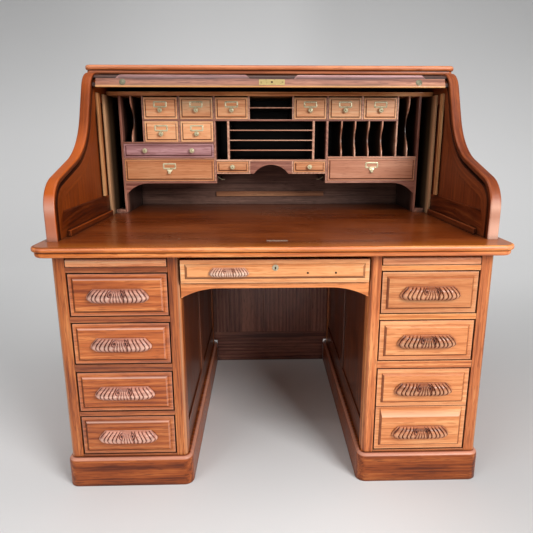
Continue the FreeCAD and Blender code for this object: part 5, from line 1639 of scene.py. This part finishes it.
@dataclass
class Tambour:
    """The slats, the lead rail with its finger lifts, and the brass set in it."""

    start: Triple = (0.0, 0.0239326, 1.2278648)
    lean: float = math.radians(-23.0)
    front: float = -0.016
    rear: float = 0.005
    low: float = -0.0205
    high: float = 0.0115
    half: float = 0.597
    middle: float = -0.0035
    lift_span: Pair = (0.076, 0.531)
    lift_tall: float = 0.0145
    peg_span: float = 0.3
    plate_half: Pair = (0.044, 0.010)
    plate_corner: float = 0.0012
    heads_at: Pair = (-0.036, 0.036)
    plugs_at: Pair = (-0.506, 0.506)

    def tilted(self, *shells: Surface) -> list[Surface]:
        """Shells drawn upright at the origin, leaned back and set on the track."""
        turn = np.array(Matrix.Rotation(self.lean, 3, "X"))
        return [shell.moved(turn, np.array(self.start)) for shell in shells]

    def bar(self) -> Surface:
        """The lead bar: a board with a rounded lower nose, cut away behind it, carried across.

        Returns:
            The shell.
        """
        profile = np.array([[self.front + 0.0014, self.high], [self.front, self.high - 0.0014],
                            [self.front, self.low + 0.0045], [self.front + 0.0004, self.low + 0.0020],
                            [self.front + 0.0018, self.low + 0.0004], [self.front + 0.0040, self.low],
                            [self.rear, self.low + 0.0085], [self.rear, self.high]])
        # Painted shade along the bar's top, a painted highlight along its rounded lower nose
        marks = np.array([-0.8, -0.3, 0.2, 0.9, 1.0, 0.5, 0.0, 0.0])
        return prism(profile, -self.half, self.half, Axis.X, seed_of("lead_bar"), marks)

    def lift(self, side: int) -> Surface:
        """A finger lift: an upright strip on the bar whose top falls away at both ends.

        Its section, a rectangle with an eased front edge, is carried along the bar. The top's height over the bar
        is a trapezium of the length.

        Args:
            side: Which side of the desk.

        Returns:
            The shell.
        """
        near, far = self.lift_span
        at = side * np.array([near, near + 0.001, near + 0.011, near + 0.015,
                              far - 0.015, far - 0.011, far - 0.001, far])
        top = self.high + self.lift_tall * np.array([0.06, 0.14, 0.93, 1.0, 1.0, 0.93, 0.14, 0.06])
        deep = np.array([-0.0130, -0.0130, -0.0118, -0.0040, -0.0040])
        share = np.array([0.0, 0.90, 1.0, 1.0, 0.0])
        tall = self.high + (top - self.high)[:, None] * share[None, :]
        rings = np.stack([np.broadcast_to(at[:, None], tall.shape), np.broadcast_to(deep, tall.shape), tall], axis=-1)
        # Painted shade where the lift meets the bar, a painted highlight along its upper front edge
        marks = np.broadcast_to(np.array([-0.9, 0.1, 0.7, 0.0, 0.0]), tall.shape).copy()
        return skin(rings, Axis.X, seed_of("lift", side), relief=marks)

    def lock_plate(self) -> list[Surface]:
        """The lock plate with a raised rim, its key boss and two screw heads.

        Returns:
            The shells.
        """
        section = np.array([[0.0, 0.0], [0.0, 0.0010], [0.0006, 0.0015], [0.0016, 0.0015], [0.0020, 0.0011]])
        flat = carried(section, self.plate_half, self.plate_corner, 3)
        plate = front_rings(flat, (0.0, self.middle), self.front)
        boss = np.array([[0.0010, 0.0074], [0.0019, 0.0072], [0.0022, 0.0058], [0.0014, 0.0040], [0.0014, 0.0006]])
        head = np.array([[0.0010, 0.0026], [0.0017, 0.0024], [0.0018, 0.0012], [0.0018, 0.0003]])
        shells = [skin(plate, Axis.X, seed_of("lock_plate"), relief=by_ring((0.0, 0.0, 0.0, 0.0, -0.5), plate)),
                  turned(boss, (0.0, self.middle), self.front, seed_of("boss"), (-1.0, -0.6, 0.0, -1.0, -1.0))]
        return shells + [turned(head, (x, self.middle), self.front, seed_of("head", x), (-1.0, -1.0, -0.6, -0.6))
                         for x in self.heads_at]

    def plug(self, x: float) -> Surface:
        """A round brass plug at a place along the bar: a low dome with a dark groove round its middle."""
        return turned(PLUG, (x, self.middle), self.front, seed_of("plug", x), PLUG_WEAR)

    def build(self, bench: Bench) -> None:
        """Slat groups, lead rail, finger lifts, lock plate and plugs.

        Args:
            bench: Where pieces are made.
        """
        for part in ("bend", "top", "turn", "back"):
            node = f"tambour_{part}_slats"
            bench.put(node, shaped(node, Axis.X), SLAT_WOOD, f"tambour_{part}", [node], sharp=55.0)
        lead, rail, lock = "tambour_lead", "lead_rail", "roll_lock"
        wide = [float(np.ptp(points[:, 0])) for points, _ in solids(rail)]
        pegs = [number for number, span in enumerate(wide) if span < self.peg_span]
        lifts = self.tilted(*(self.lift(side) for side in SIDES))
        plugs = self.tilted(*(self.plug(x) for x in self.plugs_at))
        bench.put(rail, self.tilted(self.bar()), TAMBOUR_WOOD, lead, [rail], sharp=60.0)
        # The tongues take the dark slat finish: painted shade where they sit below the bar's ends
        bench.put("lead_tongues", shaped(rail, Axis.X, pegs), SLAT_WOOD, lead, ease=0.0006, sharp=25.0)
        bench.put("finger_lifts", lifts, LIFT_WOOD, lead)
        bench.put(lock, self.tilted(*self.lock_plate()), GOLD_BRASS, lead, [lock])
        bench.put("lead_plugs", plugs, DULL_BRASS, lead)


@dataclass
class CaseBack:
    """The panelled back of the roll case and the strike plate on the desktop."""

    ease: float = 0.0018
    plate_half: Pair = (0.0305, 0.006)
    plate_corner: float = 0.0008
    plate_at: Triple = (0.006, -0.396, 0.7623)

    def build(self, bench: Bench) -> None:
        """Boards of the back, and the plate with a slot in it.

        Args:
            bench: Where pieces are made.
        """
        back, plate = "case_back", "strike_plate"
        bench.put(back, boards(back, self.ease), CASE_WOOD[LEFT], DESK, [back])
        section = np.array([[0.0, 0.0], [0.0, 0.0010], [0.0005, 0.0015], [0.0038, 0.0015], [0.0042, 0.0]])
        rings = carried(section, self.plate_half, self.plate_corner, 3) + np.array(self.plate_at)
        shell = skin(rings, Axis.X, seed_of("strike"), closed=True)
        bench.put(plate, [shell], STRIKE_BRASS, DESK, [plate])


@dataclass
class Gallery:
    """The pigeonhole gallery: carcass, shelves, dividers, brackets, the small arch and two spring catches."""

    case_ease: float = 0.001
    part_ease: float = 0.0009
    curve_sharp: float = 30.0
    cleat_back: float = 0.070
    cheek_front: float = 0.112
    cheek_edge: float = 0.002
    cheek_wear: float = 0.55
    ledge_front: float = 0.400
    ledge_stretch: float = 1.15
    shade_line: float = 0.955
    arch_span: float = 0.100
    lid_low: float = 1.19
    middle_half: float = 0.215
    catch_wall: float = 0.210
    catch_reach: float = 0.026
    catch_at: Pair = (0.235, 0.896)
    catch_fall: float = 0.011

    def catch(self, side: int) -> Surface:
        """A spring catch on the wall beside a slim drawer: a flat strip that bows down as it reaches inward.

        The strip's section is carried along the reach. Its height falls as a sine and its width narrows evenly.

        Args:
            side: Which side of the desk.

        Returns:
            The shell.
        """
        reach = np.linspace(0, 1, 12)
        x = side * (self.catch_wall - self.catch_reach * reach)
        z = self.catch_at[1] - self.catch_fall * np.sin(reach * math.pi * 0.62)
        wide = 0.008 - 0.003 * reach
        corner = np.array([[-1.0, -0.0008], [1.0, -0.0008], [1.0, 0.0008], [-1.0, 0.0008]])
        y = self.catch_at[0] + wide[:, None] * corner[None, :, 0]
        rings = np.stack([np.broadcast_to(x[:, None], y.shape), y, z[:, None] + corner[None, :, 1]], axis=-1)
        return skin(rings, Axis.X, seed_of("catch", side))

    def kind(self, shell: Surface) -> str:
        """What a board of the carcass is, told by its place.

        Args:
            shell: The board.

        Returns:
            One of cleat, cheek, ledge, sheet, lid and case.
        """
        low, high = extent(shell.points)
        if high[1] < self.cleat_back:
            return "cleat"
        if low[1] < self.cheek_front:
            return "cheek"
        if low[1] > self.ledge_front:
            return "ledge" if high[2] < self.shade_line else "sheet"
        return "lid" if low[2] > self.lid_low else "case"

    def carcass(self, bench: Bench) -> None:
        """The carcass: its back is parted where the shade of the drawers ends, the part above darkened deep inside as
        painted shade, and the cheeks' front edges take a painted highlight.

        Args:
            bench: Where pieces are made.
        """
        node = "gallery_case"
        parts: dict[str, list[Surface]] = {}
        for shell in boards(node, self.case_ease):
            parts.setdefault(self.kind(shell), []).append(shell)
        low, high = extent(parts["sheet"][0].points)
        under = plank(low, np.array([*high[:2], self.shade_line]), self.case_ease, seed_of("gallery_under"), Axis.X)
        upper = plank(np.array([*low[:2], self.shade_line]), high, self.case_ease, seed_of("gallery_upper"), Axis.X)
        for shell in parts["ledge"]:
            shell.points[:, 0] *= self.ledge_stretch
        # A painted highlight along the cheeks' front edges.
        for shell in parts["cheek"]:
            edge = shell.points[:, 1] < shell.points[:, 1].min() + self.cheek_edge
            shell.relief = np.where(edge, self.cheek_wear, shell.relief)
        bench.put(node, parts["case"] + [upper], GALLERY_WOOD, DESK, [node])
        for name, shells, finish in (
                ("lid", parts["lid"], LID_WOOD), ("lower_back", [under], UNDER_WOOD),
                ("ledge", parts["ledge"], LEDGE_WOOD), ("cheeks", parts["cheek"], CHEEK_WOOD),
                ("cleats", parts["cleat"], CLEAT_WOOD)):
            bench.put("gallery_" + name, shells, finish, DESK)
        bench.put("gallery_brackets", shaped(node, Axis.X), GALLERY_WOOD, DESK, ease=0.0008,
                  sharp=self.curve_sharp)

    def partitions(self, bench: Bench) -> None:
        """Rails, paler shelves and dividers, and eased copies of the arch and the curved dividers.

        Args:
            bench: Where pieces are made.
        """
        node = "gallery_partitions"
        rails, shelves = [], []
        for shell in boards(node, self.part_ease):
            low, high = extent(shell.points)
            pale = max(-low[0], high[0]) < self.middle_half or low[0] > self.middle_half
            (shelves if pale else rails).append(shell)
        bench.put(node, rails, GALLERY_WOOD, DESK, [node])
        bench.put("gallery_shelves", shelves, SHELF_WOOD, DESK)
        spans = {number: float(np.ptp(points[:, 0])) for number, (points, _) in enumerate(solids(node))
                 if not is_box(points)}
        arch = [number for number, span in spans.items() if span > self.arch_span]
        leaves = [number for number in spans if number not in arch]
        bench.put("gallery_arch", shaped(node, Axis.X, arch), GALLERY_WOOD, DESK, ease=0.0012,
                  sharp=self.curve_sharp)
        bench.put("gallery_curved_dividers", shaped(node, Axis.Z, leaves), SHELF_WOOD, DESK,
                  ease=0.0008, sharp=self.curve_sharp)

    def build(self, bench: Bench) -> None:
        """Carcass, partitions and catches.

        Args:
            bench: Where pieces are made.
        """
        self.carcass(bench)
        self.partitions(bench)
        bench.put("gallery_catches", [self.catch(side) for side in SIDES], OLD_BRASS, DESK)


class Fitting(Enum):
    """What a gallery drawer carries on its front."""

    KNOB = 1
    KNOB_PAIR = 2
    HOLDER_AND_KNOB = 3
    HOLDER_AND_LIP = 4


# Distance out from the face and radius of each ring of a knob, and how dark it is: tarnished hollows, and painted
# shade in the neck under the head
KNOB = np.array([[0.0, 0.0058], [0.0010, 0.0058], [0.0018, 0.0048], [0.0022, 0.0036], [0.0052, 0.0034],
                 [0.0070, 0.0048], [0.0084, 0.0074], [0.0100, 0.0088], [0.0114, 0.0090], [0.0126, 0.0082],
                 [0.0132, 0.0068], [0.0128, 0.0052], [0.0130, 0.0036], [0.0138, 0.0024], [0.0140, 0.0008]])
KNOB_TARNISH_AND_SHADE = (0.0, 0.0, 0.0, -0.7, -0.7, -0.7, 0.0, 0.0, 0.0, 0.0, -0.5, -0.5, 0.0, -0.5, -1.0)
# Distance in from a card frame's edge and height
CARD_FRAME = np.array([[0.0, 0.0], [0.0, 0.0008], [0.0009, 0.0015], [0.0028, 0.0018], [0.0047, 0.0015],
                       [0.0055, 0.0008], [0.0055, 0.0]])


@dataclass
class GalleryDrawer:
    """A small drawer with a raised field and its brass."""

    name: str
    fitting: Fitting
    finish: WoodFinish
    face: float = 0.164
    rise: float = 0.003
    thick: float = 0.010
    margin: float = 0.006
    bevel: float = 0.0045
    # Painted shade on the bevel's sides, right, top, left and foot, darkest at the left and the foot.
    tones: Linear = (-0.6, -0.25, -0.8, -0.85)
    box_ease: float = 0.0008
    holder: Pair = (0.025, 0.0115)
    holder_corner: float = 0.0045
    holder_down: float = 0.008
    knob_down: float = 0.009
    pair_apart: float = 0.26

    def knob(self, centre: Pair) -> Surface:
        """A turned knob: a rose, a neck, a swelling head and a dished middle."""
        return turned(KNOB, centre, self.face - self.rise, seed_of(self.name, "knob", centre), KNOB_TARNISH_AND_SHADE)

    def card_frame(self, centre: Pair) -> Surface:
        """A card frame: a thin rounded section carried round a rectangle."""
        rings = front_rings(carried(CARD_FRAME, self.holder, self.holder_corner, 4), centre, self.face - self.rise)
        return skin(rings, Axis.X, seed_of(self.name, "frame"), closed=True)

    def lip(self, top: Pair) -> Surface:
        """A finger lip: rounded sections that narrow as they fall and curl out from the drawer.

        Args:
            top: X and Z of its upper edge.

        Returns:
            The shell.
        """
        down, angle = np.linspace(0, 1, 14), circle(24)
        wide = 0.011 - 0.006 * np.clip(down * 1.6, 0, 1) ** 1.5
        out = 0.0016 + 0.0100 * down ** 1.7
        thick = 0.0013 + 0.0012 * down
        square = np.sign(np.cos(angle)) * np.abs(np.cos(angle)) ** 0.7
        x = top[0] + wide[:, None] * square[None, :]
        y = self.face - self.rise - out[:, None] + thick[:, None] * np.sin(angle)[None, :]
        z = np.broadcast_to((top[1] - 0.015 * down)[:, None], x.shape)
        return skin(np.stack([x, y, z], axis=-1), Axis.Z, seed_of(self.name, "lip"))

    def brass(self, low: Array, high: Array) -> list[Surface]:
        """The brass for this drawer's fitting.

        Args:
            low: Lowest X and Z of the front.
            high: Highest X and Z of the front.

        Returns:
            The shells.
        """
        middle = (low + high) / 2
        if self.fitting is Fitting.KNOB:
            return [self.knob((middle[0], middle[1]))]
        if self.fitting is Fitting.KNOB_PAIR:
            apart = self.pair_apart * (high[0] - low[0])
            return [self.knob((middle[0] + apart * side, middle[1])) for side in SIDES]
        top = high[1] - self.margin - self.holder_down
        below = top - 2 * self.holder[1] - 0.0006
        plate = self.card_frame((middle[0], top - self.holder[1]))
        if self.fitting is Fitting.HOLDER_AND_LIP:
            return [plate, self.lip((middle[0], below))]
        return [plate, self.knob((middle[0], below - self.knob_down))]

    def build(self, bench: Bench) -> None:
        """Front, box and brass.

        Args:
            bench: Where pieces are made.
        """
        node, brass = f"gallery_drawer_{self.name}", f"gallery_brass_{self.name}"
        front = solids(node)[0][0]
        low, high = extent(front[:, [0, 2]])
        raised = RaisedFront(self.face, self.thick, self.margin, self.bevel, self.rise, self.tones)
        bench.put(node + "_front", [raised.shell(low, high, seed_of(node))], self.finish, node, [node])
        bench.put(node + "_box", boards(node, self.box_ease), BARE_WOOD, node)
        bench.put(brass, self.brass(low, high), OLD_BRASS, node, [brass])


CARD_DRAWERS = ("top_left_far", "top_left_mid", "top_left_near", "top_right_near", "top_right_mid", "top_right_far",
                "second_left_far", "second_left_mid")
GALLERY_DRAWERS = [GalleryDrawer(name, Fitting.HOLDER_AND_KNOB, PALE_FRONT) for name in CARD_DRAWERS] + [
    GalleryDrawer("wide_thin_left", Fitting.KNOB_PAIR, MAUVE_FRONT),
    GalleryDrawer("wide_deep_left", Fitting.HOLDER_AND_LIP, GALLERY_FRONT),
    GalleryDrawer("wide_deep_right", Fitting.HOLDER_AND_LIP, DEEP_FRONT),
    GalleryDrawer("slim_left", Fitting.KNOB, GALLERY_FRONT),
    GalleryDrawer("slim_right", Fitting.KNOB, GALLERY_FRONT),
]


# Studio


@dataclass
class Studio:
    """A pale sweep, soft lamps and the camera."""

    eye: Triple = (-0.03707, -1.76777, 1.04374)
    yaw: float = 0.027
    pitch: float = 0.236
    lens: float = 33.33
    sensor: float = 36.0
    shift: Pair = (-0.0160, -0.0170)
    near: float = -6.0
    wall: float = 2.2
    curve: float = 1.2
    tall: float = 6.0
    half: float = 14.0
    aim: Triple = (0.0, 0.0, 0.75)
    world_light: float = 0.16

    def sweep(self) -> None:
        """The floor, which turns up in a quarter round into a plain wall: one line carried across the room."""
        turn = np.linspace(0, QUARTER, 16)
        line = np.concatenate([np.array([[self.near, 0.0], [0.0, 0.0]]),
                               np.stack([self.wall + self.curve * np.sin(turn), self.curve * (1 - np.cos(turn))], 1),
                               np.array([[self.wall + self.curve, self.tall]])])
        across = np.linspace(-self.half, self.half, 3)
        grid = np.stack(np.broadcast_arrays(across[None, :, None], line[:, None, :1], line[:, None, 1:]), axis=-1)
        row, place = np.meshgrid(np.arange(len(line) - 1), np.arange(2), indexing="ij")
        first = (row * 3 + place).ravel()
        quads = np.stack([first, first + 1, first + 4, first + 3], 1)
        mesh = bpy.data.meshes.new("floor")
        mesh.from_pydata(grid.reshape(-1, 3).tolist(), [], quads.tolist())
        mesh.polygons.foreach_set("use_smooth", np.ones(len(mesh.polygons), bool))
        mesh.materials.append(self.paper())
        floor = bpy.data.objects.new("floor", mesh)
        bpy.context.scene.collection.objects.link(floor)

    def paper(self) -> bpy.types.Material:
        """Pale paper, greyer to the sides and at the far wall as painted shade, with a painted glow, seen only by the
        camera and in reflections, on the far wall and on the floor beside the desk's left.

        Returns:
            The material.
        """
        made, graph, shader = new_material("paper_with_painted_light")
        place = graph.place()
        # Painted shade: the paper greys further back, to both sides and most to the right.
        pale = graph.blend(graph.spread(place["Y"], 0.6, 2.4), grey(226), grey(212))
        pale = graph.blend(graph.spread(graph.maths("ABSOLUTE", place["X"]), 0.6, 2.2), pale, grey(196))
        pale = graph.blend(graph.spread(place["X"], 0.1, 0.8), pale, grey(196))
        rays = graph.add("LightPath").outputs
        seen = graph.maths("MAXIMUM", rays["Is Glossy Ray"], rays["Is Transmission Ray"])
        seen = graph.maths("MAXIMUM", rays["Is Camera Ray"], seen)
        # Painted light: a glow, seen by the camera and in reflections only, that brightens the far wall, less towards
        # the top.
        far = graph.product(graph.spread(place["Y"], 0.0, 2.3), seen, graph.spread(place["Z"], 0.3, 2.9, 1.0, 0.2))
        lift = graph.blend(far, grey(0), grey(160))
        # Painted light: a further glow on the floor beside the desk's left, where its shadow falls.
        beside = graph.product(graph.spread(place["X"], -0.72, -0.5, 1.0, 0.0), seen,
                               graph.spread(place["Y"], -0.55, -0.1), graph.spread(place["Y"], 0.7, 2.0, 1.0, 0.0))
        graph.fill(shader, {
            "Base Color": pale, "Emission Color": graph.blend(beside, lift, grey(72), "ADD"),
            "Emission Strength": 1.0, "Roughness": 0.9, "Specular IOR Level": 0.1})
        return made

    def lamp(self, name: str, place: Triple, size: float, power: float) -> None:
        """A square soft lamp that looks at the middle of the desk.

        Args:
            name: Its name.
            place: Where it stands.
            size: Its width.
            power: Its power in watts.
        """
        light = bpy.data.lights.new(name, "AREA")
        light.size, light.energy = size, power
        lamp = bpy.data.objects.new(name, light)
        lamp.location = place
        lamp.rotation_euler = (Vector(self.aim) - Vector(place)).to_track_quat("-Z", "Y").to_euler()
        bpy.context.scene.collection.objects.link(lamp)

    def camera(self) -> None:
        """The camera, looking a little down and across as in the photograph."""
        ahead = Vector((math.sin(self.yaw) * math.cos(self.pitch), math.cos(self.yaw) * math.cos(self.pitch),
                        -math.sin(self.pitch)))
        right = Vector((math.cos(self.yaw), -math.sin(self.yaw), 0.0))
        lens = bpy.data.cameras.new("camera")
        lens.lens, lens.sensor_width = self.lens, self.sensor
        lens.shift_x, lens.shift_y = self.shift
        camera = bpy.data.objects.new("camera", lens)
        camera.matrix_world = Matrix((right, right.cross(ahead), -ahead)).transposed().to_4x4()
        camera.location = self.eye
        bpy.context.scene.collection.objects.link(camera)
        bpy.context.scene.camera = camera

    def build(self) -> None:
        """Sweep, lamps, world and camera."""
        self.sweep()
        self.lamp("key_lamp", (1.9, -2.7, 2.2), size=1.5, power=108.0)
        self.lamp("fill_lamp", (-2.3, -2.6, 1.9), size=2.0, power=27.0)
        self.lamp("top_lamp", (0.0, -0.6, 3.4), size=2.6, power=54.0)
        world = bpy.data.worlds.new("studio")
        world.use_nodes = True
        light = world.node_tree.nodes["Background"].inputs
        light["Color"].default_value = grey(255)
        light["Strength"].default_value = self.world_light
        bpy.context.scene.world = world
        bpy.context.scene.view_settings.view_transform = "Standard"
        self.camera()


def corners(box: tuple[Vector, Vector]) -> list[list[float]]:
    """A box as two plain lists."""
    return [[float(value) for value in corner] for corner in box]


def main() -> None:
    """Builds the desk's sub-assemblies in order, then the studio, and logs how many pieces were made."""
    logging.basicConfig(level=logging.INFO, format="%(name)s %(message)s")
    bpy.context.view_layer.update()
    bench = Bench()
    MouldedBoard("desktop", half=(0.6655, 0.478), middle=0.0, low=0.732, split=0.7465, high=0.762, step=0.007,
                 corner=0.045, fade=0.25).build(bench)
    MouldedBoard("top_board", half=(0.664, 0.1875), middle=0.2885, low=1.2685, split=1.281, high=1.299, step=0.006,
                 corner=0.024, finish=TOP_EDGE).build(bench)
    for side in SIDES:
        for part in (Plinth, Pedestal, WritingSlide, RollEnd):
            part(side).build(bench)
    for part in (PedestalDrawers, CentreDrawer, Kneehole, Tambour, CaseBack, Gallery):
        part().build(bench)
    for drawer in GALLERY_DRAWERS:
        drawer.build(bench)
    Studio().build()
    log.info("%d pieces", len(bench.made))


if __name__ == "__main__":
    main()
